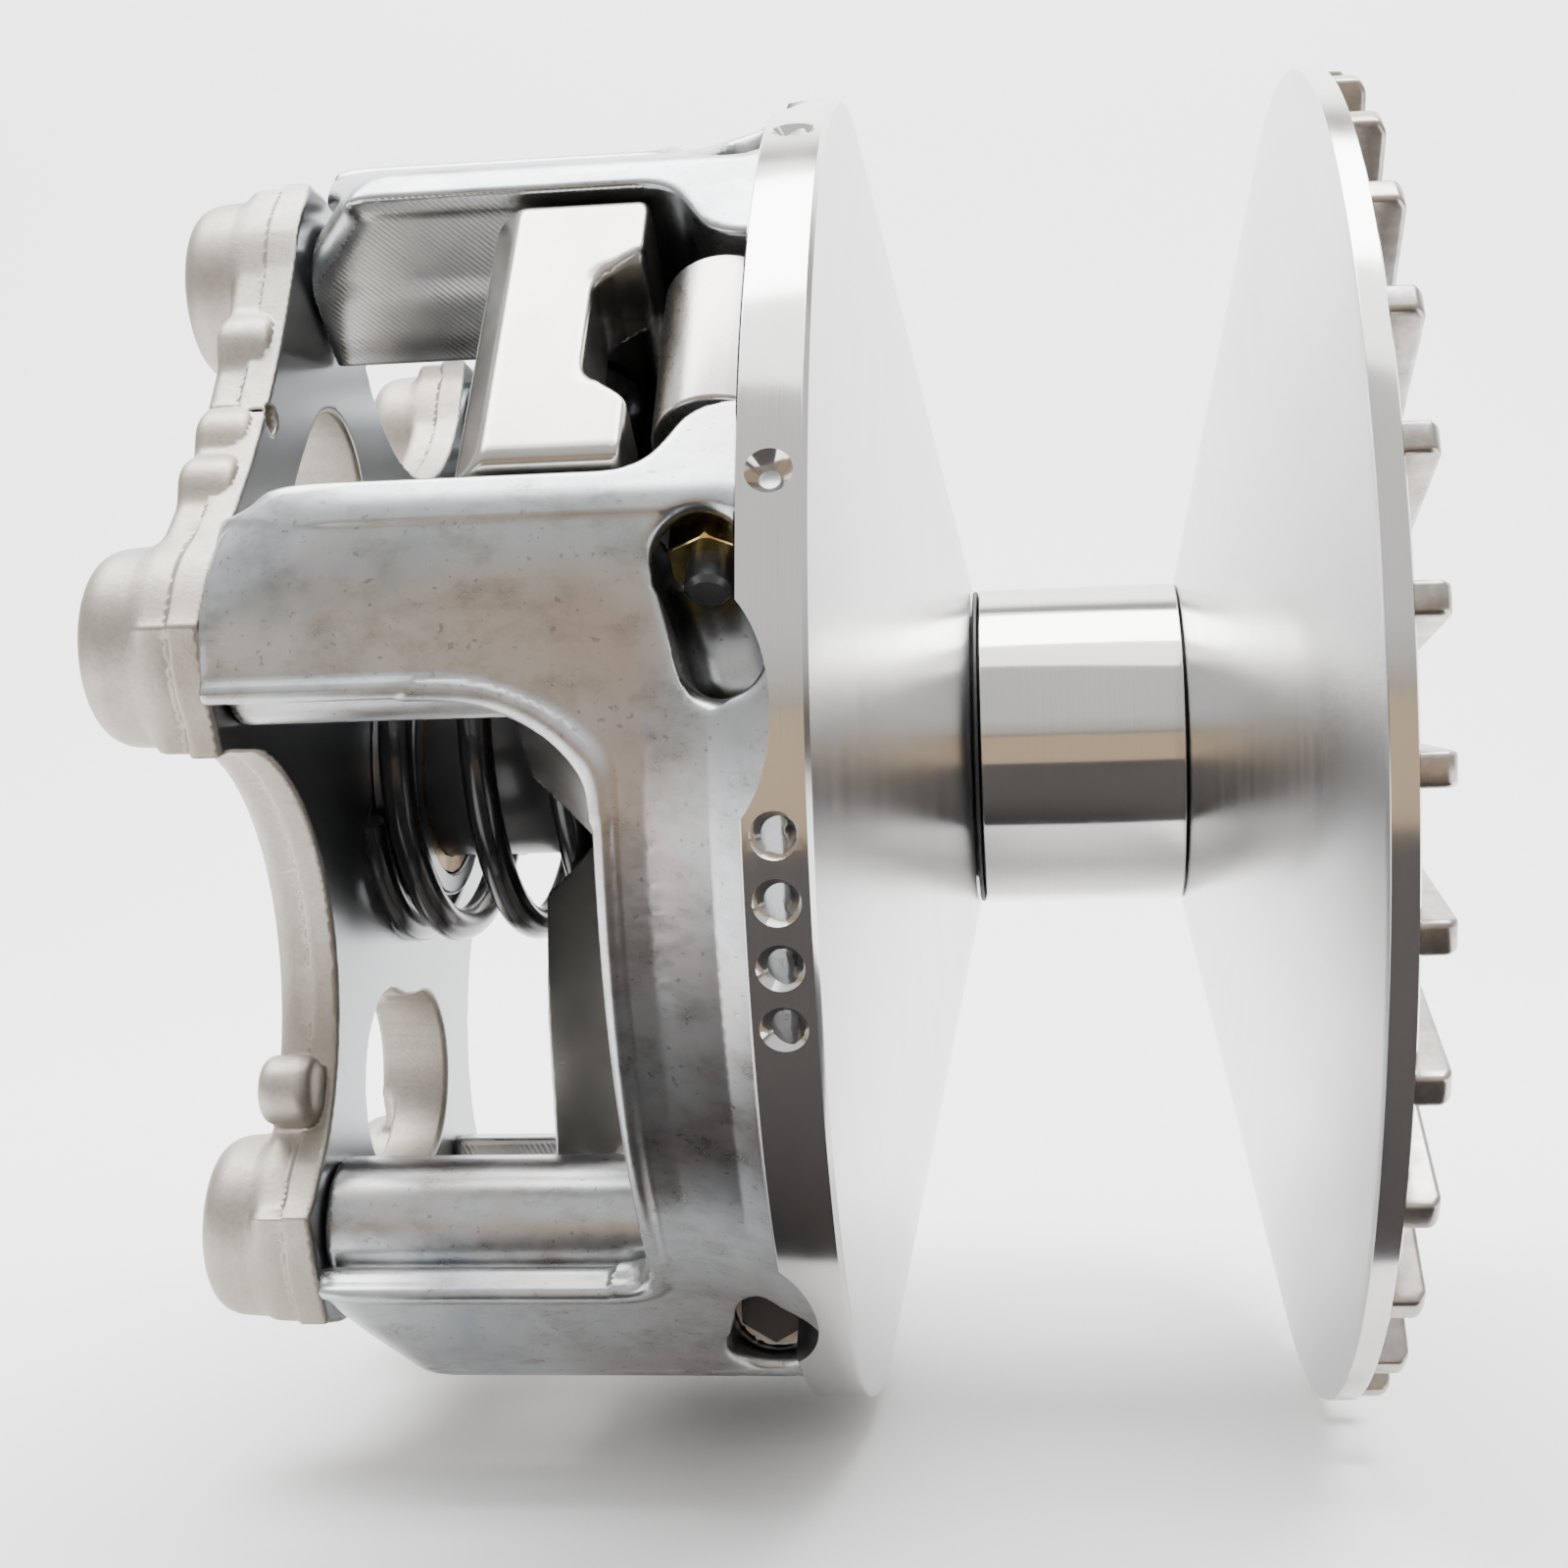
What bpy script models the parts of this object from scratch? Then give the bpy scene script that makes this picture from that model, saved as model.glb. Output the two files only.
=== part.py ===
"""Driving clutch of a belt transmission: fixed sheave on its shaft, sliding sheave with six towers,
three-arm spider with rollers, flyweights, spring and cover. Metres, clutch axis along X.

The origin is the centre of the crankshaft taper's mouth, on the engine-side end of the shaft.
Everything else lies at negative X. Each arm of the spider has its own frame, used for all that
repeats three times: x along the clutch axis, t across the arm, s outwards from the axis.
"""

import math

import bmesh
import bpy
from mathutils import Matrix, Vector

MM = 0.001
CLEAR = 0.3 * MM

# Sheaves
SHEAVE_RADIUS = 101.6 * MM
MOVABLE_RADIUS = 101.3 * MM
HUB_RADIUS = 25.5 * MM
FIXED_RIM_FRONT = -9.8 * MM
FIXED_RIM_BACK = -6.3 * MM
FIXED_HUB_FRONT = -27.3 * MM
FIN_TIP = -1.8 * MM
FIN_COUNT = 32
FIN_WIDTH = 4.2 * MM
MOVABLE_RIM_FRONT = -76.4 * MM
MOVABLE_RIM_BACK = -85.2 * MM
MOVABLE_HUB_FRONT = -59.5 * MM
PLATE = 6.0 * MM
DRUM_RADIUS = 99.3 * MM
DRUM_WALL = 6.0 * MM
DRUM_END = -104.0 * MM

# Shaft, sleeve and bearing
SHAFT_RADIUS = 15.5 * MM
SHAFT_SEAT_RADIUS = 21.0 * MM
SHAFT_END = -163.0 * MM
SHAFT_STEP = -60.0 * MM
TAPER_MOUTH = 15.0 * MM
TAPER_SMALL = 11.0 * MM
TAPER_DEPTH = -42.0 * MM
SLEEVE_RADIUS = 25.1 * MM
SLEEVE_WALL = 1.9 * MM
SLEEVE_RIGHT = -27.6 * MM
SLEEVE_LEFT = -58.2 * MM

# Towers, cover and spider
ARM_ANGLES = (36.5, 156.5, 276.5)
TOWER_END = -152.8 * MM
SLOT_HALF = 27.0 * MM
SLOT_BOTTOM = -99.5 * MM
COVER_FACE = -153.1 * MM
COVER_BACK = -162.5 * MM
BOSS_END = -171.3 * MM
BOSS_RADIUS = 13.4 * MM
BOSS_CIRCLE = 80.0 * MM
BOSS_ANGLE = 25.3
COVER_WAIST = 49.0 * MM
COVER_SLOT_EDGE = 80.0 * MM
SPIDER_LEFT = -122.0 * MM
SPIDER_RIGHT = -100.0 * MM
ARM_HALF = 24.7 * MM
ARM_REACH = 94.5 * MM
SPRING_POCKET = 31.2 * MM
SPRING_FLOOR = -106.0 * MM

# Flyweights and rollers
PIVOT_X = -89.4 * MM
PIVOT_S = 84.0 * MM
PIVOT_HUB = 9.0 * MM
HUB_HALF = 14.0 * MM
BLADE_HALF = 10.5 * MM
NOTCH_HALF = 12.5 * MM
BORE_SEAT = 28.3 * MM
ROLLER_X = -111.0 * MM
ROLLER_S = 69.0 * MM
ROLLER_RADIUS = 7.0 * MM
TRAVEL = 24.0 * MM
WEIGHT_SWING = math.radians(46.0)
WEIGHT_LENGTH = 48.8 * MM

# Outline (x, s) of the hollow for the flyweight's hub and blade
HUB_POCKET = [
    (-101.0 * MM, 33.0 * MM),
    (-73.0 * MM, 33.0 * MM),
    (-79.4 * MM, 74.0 * MM),
    (-79.4 * MM, 95.2 * MM),
    (-85.6 * MM, 95.2 * MM),
    (-85.6 * MM, 115.0 * MM),
    (-101.0 * MM, 115.0 * MM),
]

# Spring
SPRING_RADIUS = 26.95 * MM
SPRING_WIRE = 2.65 * MM
SPRING_LEFT = -155.7 * MM
SPRING_TURNS = 4.5

# Fasteners
BOLT_RADIUS = 4.0 * MM
HOLE_RADIUS = 4.35 * MM
PIVOT_BOLT = 3.0 * MM
PIVOT_HOLE = 3.4 * MM


def clear_scene():
    for obj in list(bpy.data.objects):
        bpy.data.objects.remove(obj, do_unlink=True)


def material(name, color, metallic, roughness):
    mat = bpy.data.materials.new(name)
    mat.use_nodes = True
    shader = mat.node_tree.nodes["Principled BSDF"]
    shader.inputs["Base Color"].default_value = (*color, 1.0)
    shader.inputs["Metallic"].default_value = metallic
    shader.inputs["Roughness"].default_value = roughness
    return mat


def arm_matrix(angle):
    """The frame of the arm that points at this angle above the front direction (-Y)."""
    return Matrix.Rotation(math.radians(90.0 - angle), 4, "X")


def add_object(name, bm, mat=None, cutter=False):
    bmesh.ops.remove_doubles(bm, verts=bm.verts, dist=1e-7)
    bmesh.ops.recalc_face_normals(bm, faces=bm.faces)
    mesh = bpy.data.meshes.new(name)
    bm.to_mesh(mesh)
    bm.free()
    if mat is not None:
        mesh.materials.append(mat)
    mesh.shade_smooth()
    mesh.set_sharp_from_angle(angle=math.radians(30.0))
    obj = bpy.data.objects.new(name, mesh)
    bpy.context.scene.collection.objects.link(obj)
    if cutter:
        obj.hide_render = True
        obj.display_type = "WIRE"
    return obj


def turned_mesh(profile, steps):
    """A closed profile of (x, radius) points, turned about the X axis."""
    bm = bmesh.new()
    verts = [bm.verts.new((x, 0.0, r)) for x, r in profile]
    edges = [bm.edges.new((verts[i - 1], verts[i])) for i in range(len(verts))]
    bmesh.ops.spin(
        bm,
        geom=verts + edges,
        cent=(0.0, 0.0, 0.0),
        axis=(1.0, 0.0, 0.0),
        angle=math.tau,
        steps=steps,
        use_merge=True,
    )
    return bm


def rod_mesh(profile, steps, centre=(0.0, 0.0), axis="X"):
    """A solid of discs: profile holds (place along the axis, radius), ends are closed by flat faces.

    centre is the place of the axis in the other two directions, in their X, Y, Z order.
    """
    bm = bmesh.new()
    rings = []
    for place, radius in profile:
        ring = []
        for i in range(steps):
            a = math.tau * (i + 0.5) / steps
            u = centre[0] + radius * math.cos(a)
            v = centre[1] + radius * math.sin(a)
            point = (place, u, v) if axis == "X" else (u, place, v)
            ring.append(bm.verts.new(point))
        rings.append(ring)
    for first, second in zip(rings, rings[1:]):
        for i in range(steps):
            j = (i + 1) % steps
            bm.faces.new((first[i], first[j], second[j], second[i]))
    bm.faces.new(rings[0])
    bm.faces.new(rings[-1])
    return bm


def prism_mesh(outline, low, high, plane):
    """An outline extruded between two places. plane "ts" extrudes along x, plane "xs" along t."""
    bm = bmesh.new()
    if plane == "ts":
        verts = [bm.verts.new((low, t, s)) for t, s in outline]
        step = Vector((high - low, 0.0, 0.0))
    else:
        verts = [bm.verts.new((x, low, s)) for x, s in outline]
        step = Vector((0.0, high - low, 0.0))
    face = bm.faces.new(verts)
    grown = bmesh.ops.extrude_face_region(bm, geom=[face])
    moved = [g for g in grown["geom"] if isinstance(g, bmesh.types.BMVert)]
    bmesh.ops.translate(bm, verts=moved, vec=step)
    return bm


def box_mesh(low, high):
    outline = [(low[1], low[2]), (high[1], low[2]), (high[1], high[2]), (low[1], high[2])]
    return prism_mesh(outline, low[0], high[0], "ts")


def arc(centre, radius, start, end, steps):
    """Points on an arc, angles in degrees."""
    points = []
    for i in range(steps + 1):
        a = math.radians(start + (end - start) * i / steps)
        points.append((centre[0] + radius * math.cos(a), centre[1] + radius * math.sin(a)))
    return points


def boolean(target, cutter, operation="DIFFERENCE"):
    modifier = target.modifiers.new(cutter.name, "BOOLEAN")
    modifier.operation = operation
    modifier.solver = "EXACT"
    modifier.object = cutter


def boolean_group(target, cutters, operation="DIFFERENCE"):
    """One Boolean with many tools at once, which keeps the cut edges clean."""
    name = f"{target.name}_{operation.lower()}_tools"
    group = bpy.data.collections.new(name)
    bpy.context.scene.collection.children.link(group)
    for cutter in cutters:
        bpy.context.scene.collection.objects.unlink(cutter)
        group.objects.link(cutter)
    modifier = target.modifiers.new(name, "BOOLEAN")
    modifier.operation = operation
    modifier.solver = "EXACT"
    modifier.operand_type = "COLLECTION"
    modifier.collection = group


def place(obj, matrix):
    obj.data.transform(matrix)
    obj.data.update()
    return obj


def hang(obj, empty):
    """Parents a piece to its joint's empty and moves the piece's origin onto it."""
    obj.data.transform(Matrix.Translation(-empty.location))
    obj.parent = empty


def joint_empty(name, location):
    empty = bpy.data.objects.new(name, None)
    empty.location = location
    empty.empty_display_size = 0.01
    bpy.context.scene.collection.objects.link(empty)
    return empty


def front_face(radius):
    """X of the sliding sheave's belt face at a radius."""
    share = (radius - HUB_RADIUS) / (MOVABLE_RADIUS - HUB_RADIUS)
    return MOVABLE_HUB_FRONT + share * (MOVABLE_RIM_FRONT - MOVABLE_HUB_FRONT)


def fixed_face(radius):
    """X of the fixed sheave's belt face at a radius."""
    share = (radius - SLEEVE_RADIUS) / (SHEAVE_RADIUS - SLEEVE_RADIUS)
    return FIXED_HUB_FRONT + share * (FIXED_RIM_FRONT - FIXED_HUB_FRONT)


def tower_outline(side):
    """Section of one tower across the clutch axis, in an arm's (t, s) frame. side is -1 or +1."""
    outer_corner = arc((SLOT_HALF + 3.2 * MM, 91.4 * MM), 3.2 * MM, 180.0, 62.0, 3)
    lip = [(50.0 * MM, 79.5 * MM), (51.2 * MM, 77.0 * MM), (48.0 * MM, 74.6 * MM)]
    post = arc((37.0 * MM, 72.0 * MM), 9.6 * MM, 12.0, -90.0, 4)
    outline = [(SLOT_HALF, 62.4 * MM)] + outer_corner + lip + post
    return [(side * t, s) for t, s in outline]


def tower_mesh(side):
    """One tower. Its right end stays inside the sheave's plate."""
    outline = tower_outline(side)
    bm = bmesh.new()
    left = [bm.verts.new((TOWER_END, t, s)) for t, s in outline]
    right = [bm.verts.new((front_face(math.hypot(t, s)) - 3.2 * MM, t, s)) for t, s in outline]
    count = len(outline)
    for i in range(count):
        j = (i + 1) % count
        bm.faces.new((left[i], left[j], right[j], right[i]))
    bm.faces.new(left)
    middle_t = sum(t for t, _ in outline) / count
    middle_s = sum(s for _, s in outline) / count
    middle = bm.verts.new((front_face(math.hypot(middle_t, middle_s)) - 3.2 * MM, middle_t, middle_s))
    for i in range(count):
        bm.faces.new((right[i], right[(i + 1) % count], middle))
    return bm


def lug_mesh(side):
    """Lug beside the flyweight's hub that carries its bolt."""
    low, high = sorted((side * 14.8 * MM, side * 30.0 * MM))
    outline = [(-99.0 * MM, 73.0 * MM), (-99.0 * MM, 94.5 * MM), (-79.6 * MM, 94.5 * MM), (-76.6 * MM, 73.0 * MM)]
    return prism_mesh(outline, low, high, "xs")


def cover_outline():
    """Plan of the cover: six bosses joined by deep arcs at the windows and shallow ones at the slots."""
    points = []
    window = arc_between_bosses(60.0 - BOSS_ANGLE, COVER_WAIST)
    slot = arc_between_bosses(BOSS_ANGLE, COVER_SLOT_EDGE)
    for angle in ARM_ANGLES:
        for half, (distance, radius), turn in ((BOSS_ANGLE, slot, 0.0), (60.0 - BOSS_ANGLE, window, 60.0)):
            middle = math.radians(angle + turn)
            centre = (distance * math.cos(middle), distance * math.sin(middle))
            ends = []
            for sign in (-1.0, 1.0):
                a = middle + sign * math.radians(half)
                boss = (BOSS_CIRCLE * math.cos(a), BOSS_CIRCLE * math.sin(a))
                ends.append(math.atan2(boss[1] - centre[1], boss[0] - centre[0]))
            start, end = ends
            while end > start:
                end -= math.tau
            steps = 8 if turn else 3
            points += arc(centre, radius, math.degrees(start), math.degrees(end), steps)
            points += boss_cap(middle + math.radians(half), end, 60.0 - turn)
    return points


def arc_between_bosses(half_angle, nearest):
    """(centre distance, radius) of the arc that touches both bosses and comes this near to the axis."""
    top = BOSS_CIRCLE**2 - (nearest - BOSS_RADIUS) ** 2
    bottom = 2.0 * (BOSS_CIRCLE * math.cos(math.radians(half_angle)) - (nearest - BOSS_RADIUS))
    distance = top / bottom
    return distance, distance - nearest


def boss_cap(boss_angle, arc_end, next_turn):
    """Points round a boss's outer side, from the arc before it to the arc after it."""
    boss = (BOSS_CIRCLE * math.cos(boss_angle), BOSS_CIRCLE * math.sin(boss_angle))
    half, nearest = (60.0 - BOSS_ANGLE, COVER_WAIST) if next_turn else (BOSS_ANGLE, COVER_SLOT_EDGE)
    distance, _ = arc_between_bosses(half, nearest)
    following = boss_angle + math.radians(half)
    centre = (distance * math.cos(following), distance * math.sin(following))
    start = arc_end + math.pi
    end = math.atan2(centre[1] - boss[1], centre[0] - boss[0])
    while end < start:
        end += math.tau
    while end - start > math.tau:
        end -= math.tau
    return arc(boss, BOSS_RADIUS, math.degrees(start), math.degrees(end), 6)[1:-1]


def make_fixed_sheave(mats):
    back_hub = FIXED_HUB_FRONT + 9.0 * MM
    profile = [
        (FIXED_HUB_FRONT, SHAFT_SEAT_RADIUS + CLEAR),
        (FIXED_HUB_FRONT, SLEEVE_RADIUS),
        (FIXED_RIM_FRONT - 0.35 * MM, SHEAVE_RADIUS - 1.2 * MM),
        (FIXED_RIM_FRONT, SHEAVE_RADIUS),
        (FIXED_RIM_BACK, SHEAVE_RADIUS),
        (FIXED_RIM_BACK, SHEAVE_RADIUS - 4.0 * MM),
        (back_hub, 32.0 * MM),
        (-1.0 * MM, 30.0 * MM),
        (-1.0 * MM, SHAFT_SEAT_RADIUS + CLEAR),
    ]
    sheave = add_object("fixed_sheave", turned_mesh(profile, 48), mats["turned_aluminium"])
    bm = bmesh.new()
    for i in range(FIN_COUNT):
        outline = [
            (-19.5 * MM, 28.0 * MM),
            (FIXED_RIM_BACK - 1.5 * MM, SHEAVE_RADIUS - 0.4 * MM),
            (FIN_TIP - 1.0 * MM, SHEAVE_RADIUS - 0.4 * MM),
            (FIN_TIP, SHEAVE_RADIUS - 2.0 * MM),
            (FIN_TIP, 28.0 * MM),
        ]
        half = FIN_WIDTH / 2.0
        fin = prism_mesh(outline, -half, half, "xs")
        turn = Matrix.Rotation(math.tau * (i + 0.25) / FIN_COUNT, 4, "X")
        bmesh.ops.transform(fin, matrix=turn, verts=fin.verts)
        piece = bpy.data.meshes.new("fin")
        fin.to_mesh(piece)
        fin.free()
        bm.from_mesh(piece)
        bpy.data.meshes.remove(piece)
    fins = add_object("cooling_fins_tool", bm, cutter=True)
    boolean(sheave, fins, "UNION")
    bore = add_object("sheave_bore_tool", rod_mesh([(-30 * MM, 21.4 * MM), (1 * MM, 21.4 * MM)], 32), cutter=True)
    boolean(sheave, bore)
    return sheave


def make_shaft(mats):
    profile = [
        (0.0, TAPER_MOUTH),
        (TAPER_DEPTH, TAPER_SMALL),
        (TAPER_DEPTH, 6.6 * MM),
        (SHAFT_END + 9.0 * MM, 6.6 * MM),
        (SHAFT_END + 9.0 * MM, 12.8 * MM),
        (SHAFT_END, 12.8 * MM),
        (SHAFT_END, SHAFT_RADIUS - 1.0 * MM),
        (SHAFT_END + 1.0 * MM, SHAFT_RADIUS),
        (SHAFT_STEP, SHAFT_RADIUS),
        (SHAFT_STEP, SHAFT_SEAT_RADIUS),
        (0.0, SHAFT_SEAT_RADIUS),
    ]
    add_object("main_shaft", turned_mesh(profile, 32), mats["black_steel"])
    washer = [
        (SHAFT_END + 8.7 * MM, 6.5 * MM),
        (SHAFT_END + 8.7 * MM, 12.4 * MM),
        (SHAFT_END + 5.7 * MM, 12.4 * MM),
        (SHAFT_END + 5.7 * MM, 6.5 * MM),
    ]
    add_object("clutch_washer", turned_mesh(washer, 16), mats["zinc_steel"])
    shank = rod_mesh([(SHAFT_END + 5.0 * MM, 6.0 * MM), (-28.0 * MM, 6.0 * MM)], 16)
    head = rod_mesh([(SHAFT_END - 3.6 * MM, 10.9 * MM), (SHAFT_END + 5.4 * MM, 10.9 * MM)], 6)
    bolt = add_object("clutch_bolt", head, mats["zinc_steel"])
    boolean(bolt, add_object("clutch_bolt_shank_tool", shank, cutter=True), "UNION")


def make_bearing(mats, spin):
    inner = SLEEVE_RADIUS - SLEEVE_WALL
    ring = [
        (SLEEVE_LEFT, inner),
        (SLEEVE_LEFT, SLEEVE_RADIUS - 0.3 * MM),
        (SLEEVE_LEFT + 0.3 * MM, SLEEVE_RADIUS),
        (SLEEVE_RIGHT - 0.3 * MM, SLEEVE_RADIUS),
        (SLEEVE_RIGHT, SLEEVE_RADIUS - 0.3 * MM),
        (SLEEVE_RIGHT, inner),
    ]
    hang(add_object("bearing_sleeve", turned_mesh(ring, 40), mats["ground_steel"]), spin)
    low, high = SHAFT_SEAT_RADIUS + CLEAR, inner - CLEAR
    for name, left, right, mat in (
        ("bearing_cage", -54.6 * MM, -31.4 * MM, "brass"),
        ("thrust_washer_left", -57.9 * MM, -54.9 * MM, "zinc_steel"),
        ("thrust_washer_right", -31.1 * MM, -28.1 * MM, "zinc_steel"),
    ):
        profile = [(left, low), (left, high), (right, high), (right, low)]
        add_object(name, turned_mesh(profile, 24), mats[mat])
    seal = [
        (SLEEVE_LEFT - 1.0 * MM, low),
        (SLEEVE_LEFT - 1.0 * MM, SLEEVE_RADIUS - 0.2 * MM),
        (SLEEVE_LEFT - 0.3 * MM, SLEEVE_RADIUS - 0.2 * MM),
        (SLEEVE_LEFT - 0.3 * MM, low),
    ]
    add_object("bearing_seal", turned_mesh(seal, 32), mats["black_rubber"])


def movable_body_mesh():
    """Turned blank of the sliding sheave: belt face, rim, drum and hub, hollow from the cover side."""
    drum_inner = DRUM_RADIUS - DRUM_WALL
    floor_out = front_face(drum_inner) - PLATE
    floor_in = front_face(34.0 * MM) - PLATE
    hub_left = -98.0 * MM
    profile = [
        (MOVABLE_HUB_FRONT, HUB_RADIUS),
        (MOVABLE_RIM_FRONT, MOVABLE_RADIUS),
        (MOVABLE_RIM_BACK, MOVABLE_RADIUS),
        (MOVABLE_RIM_BACK - 0.6 * MM, DRUM_RADIUS),
        (DRUM_END, DRUM_RADIUS - 3.6 * MM),
        (DRUM_END, drum_inner - 3.0 * MM),
        (floor_out, drum_inner),
        (floor_in, 34.0 * MM),
        (floor_in - 1.5 * MM, 30.5 * MM),
        (hub_left, 24.5 * MM),
        (hub_left, 19.1 * MM),
        (-87.0 * MM, 19.1 * MM),
        (-87.0 * MM, HUB_RADIUS),
    ]
    return turned_mesh(profile, 48)


def make_movable(mats, slide):
    sheave = add_object("movable_sheave", movable_body_mesh(), mats["cast_aluminium"])
    towers = []
    cutters = []
    for number, angle in enumerate(ARM_ANGLES, 1):
        frame = arm_matrix(angle)
        for side in (-1, 1):
            towers.append(place(add_object(f"tower_tool_{number}{side}", tower_mesh(side), cutter=True), frame))
            towers.append(place(add_object(f"lug_tool_{number}{side}", lug_mesh(side), cutter=True), frame))
        cuts = {
            "slot": box_mesh((-160 * MM, -SLOT_HALF, 36 * MM), (SLOT_BOTTOM, SLOT_HALF, 115 * MM)),
            "hub_pocket": prism_mesh(HUB_POCKET, -15.6 * MM, 15.6 * MM, "xs"),
            "bolt_hole": rod_mesh([(-60 * MM, PIVOT_HOLE), (60 * MM, PIVOT_HOLE)], 12, (PIVOT_X, PIVOT_S), "Y"),
            "head_bore": rod_mesh([(BORE_SEAT, 7.6 * MM), (70 * MM, 7.6 * MM)], 14, (PIVOT_X, PIVOT_S), "Y"),
            "nut_bore": rod_mesh([(-70 * MM, 7.6 * MM), (-BORE_SEAT, 7.6 * MM)], 14, (PIVOT_X, PIVOT_S), "Y"),
            "top_slope": tower_slope_mesh(),
        }
        for side in (-1, 1):
            cuts[f"cover_hole_{side}"] = cover_hole_mesh(side, -156 * MM, -128 * MM, HOLE_RADIUS, 12)
        for name, bm in cuts.items():
            cutters.append(place(add_object(f"{name}_tool_{number}", bm, cutter=True), frame))
    for number, angle in enumerate((57.7, 19.3, -5.4, -9.9, -14.5, -18.9), 1):
        cone = rod_mesh([(-3.2 * MM, 0.15 * MM), (0.0, 3.0 * MM), (1.0 * MM, 3.0 * MM)], 12, (0.0, 0.0), "Y")
        turn = Matrix.Rotation(math.radians(90.0), 4, "X")
        spot = Matrix.Translation((-80.9 * MM, 0.0, MOVABLE_RADIUS))
        cutter = add_object(f"balance_drill_tool_{number}", cone, cutter=True)
        cutters.append(place(cutter, arm_matrix(angle) @ spot @ turn))
    boolean_group(sheave, towers, "UNION")
    boolean_group(sheave, cutters)
    hang(sheave, slide)
    bushing = [
        (-97.5 * MM, SHAFT_RADIUS + CLEAR),
        (-97.5 * MM, 18.8 * MM),
        (-87.3 * MM, 18.8 * MM),
        (-87.3 * MM, SHAFT_RADIUS + CLEAR),
    ]
    hang(add_object("sheave_bushing", turned_mesh(bushing, 24), mats["bronze"]), slide)


def tower_slope_mesh():
    """Wedge that slopes the outer faces of both towers down towards the cover."""
    outline = [(-156 * MM, 88 * MM), (-151 * MM, 88.5 * MM), (-137 * MM, 99.5 * MM), (-137 * MM, 112 * MM)]
    return prism_mesh(outline + [(-156 * MM, 112 * MM)], -58 * MM, 58 * MM, "xs")


def boss_centre(side):
    a = math.radians(BOSS_ANGLE)
    return (side * BOSS_CIRCLE * math.sin(a), BOSS_CIRCLE * math.cos(a))


def cover_hole_mesh(side, left, right, radius, steps):
    return rod_mesh([(left, radius), (right, radius)], steps, boss_centre(side))


def make_cover(mats, slide):
    plate = prism_mesh(cover_points_in_yz(), COVER_BACK, COVER_FACE, "ts")
    cover = add_object("clutch_cover", plate, mats["blasted_aluminium"])
    hub = [(COVER_BACK - 4.0 * MM, 24.0 * MM), (-158.0 * MM, 24.0 * MM)]
    hub += [(-157.9 * MM, 22.0 * MM), (-146.0 * MM, 22.0 * MM)]
    added = [add_object("cover_hub_tool", rod_mesh(hub, 24), cutter=True)]
    recess = [(-156.0 * MM, 22.6 * MM), (-156.0 * MM, 31.0 * MM), (-150.0 * MM, 31.0 * MM), (-150.0 * MM, 22.6 * MM)]
    cutters = [add_object("spring_recess_tool", turned_mesh(recess, 24), cutter=True)]
    bore = rod_mesh([(-170 * MM, 18.7 * MM), (-140 * MM, 18.7 * MM)], 24)
    cutters.append(add_object("cover_bore_tool", bore, cutter=True))
    for number, angle in enumerate(ARM_ANGLES, 1):
        frame = arm_matrix(angle)
        for side in (-1, 1):
            name = f"{number}{'ab'[side > 0]}"
            profile = [(BOSS_END, 10.9 * MM), (BOSS_END + 2.5 * MM, BOSS_RADIUS - 0.4 * MM)]
            profile += [(COVER_BACK + 1.5 * MM, BOSS_RADIUS - 0.2 * MM)]
            boss = rod_mesh(profile, 16, boss_centre(side))
            added.append(place(add_object(f"boss_tool_{name}", boss, cutter=True), frame))
            seat = [(-180 * MM, 7.2 * MM), (-163.0 * MM, 7.2 * MM), (-163.0 * MM, HOLE_RADIUS), (-150 * MM, HOLE_RADIUS)]
            seat = rod_mesh(seat, 12, boss_centre(side))
            cutters.append(place(add_object(f"cover_bolt_hole_tool_{name}", seat, cutter=True), frame))
        cutters.append(place(add_object(f"kidney_tool_{number}", kidney_mesh(), cutter=True), frame))
        ear = rod_mesh([(COVER_BACK, 5.0 * MM), (-153.3 * MM, 5.0 * MM)], 10, (0.0, 79.5 * MM))
        added.append(place(add_object(f"ear_tool_{number}", ear, cutter=True), frame))
        pin = rod_mesh([(-170 * MM, 2.0 * MM), (-150 * MM, 2.0 * MM)], 6, (0.0, 79.5 * MM))
        cutters.append(place(add_object(f"mark_hole_tool_{number}", pin, cutter=True), frame))
    boolean_group(cover, added, "UNION")
    boolean_group(cover, cutters)
    hang(cover, slide)
    bushing = [
        (-165.5 * MM, SHAFT_RADIUS + CLEAR),
        (-165.5 * MM, 18.3 * MM),
        (-146.5 * MM, 18.3 * MM),
        (-146.5 * MM, SHAFT_RADIUS + CLEAR),
    ]
    hang(add_object("cover_bushing", turned_mesh(bushing, 24), mats["bronze"]), slide)


def cover_points_in_yz():
    """The plan of the cover as (y, z) points: an angle a of the plan points to (-cos a, sin a)."""
    return [(-u, v) for u, v in cover_outline()]


def kidney_mesh():
    """Kidney-shaped window through the cover, across an arm's direction."""
    middle, half, sweep = 52.6 * MM, 14.2 * MM, 10.0
    outer = arc((0.0, 0.0), middle + half, 90.0 - sweep, 90.0 + sweep, 2)
    left_centre = arc((0.0, 0.0), middle, 90.0 + sweep, 90.0 + sweep, 1)[0]
    left_end = arc(left_centre, half, 90.0 + sweep, 270.0 + sweep, 6)
    inner = arc((0.0, 0.0), middle - half, 90.0 + sweep, 90.0 - sweep, 2)
    right_centre = arc((0.0, 0.0), middle, 90.0 - sweep, 90.0 - sweep, 1)[0]
    right_end = arc(right_centre, half, 270.0 - sweep, 450.0 - sweep, 6)
    outline = outer[:-1] + left_end[:-1] + inner[:-1] + right_end[:-1]
    return prism_mesh(outline, -170 * MM, -150 * MM, "ts")


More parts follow.
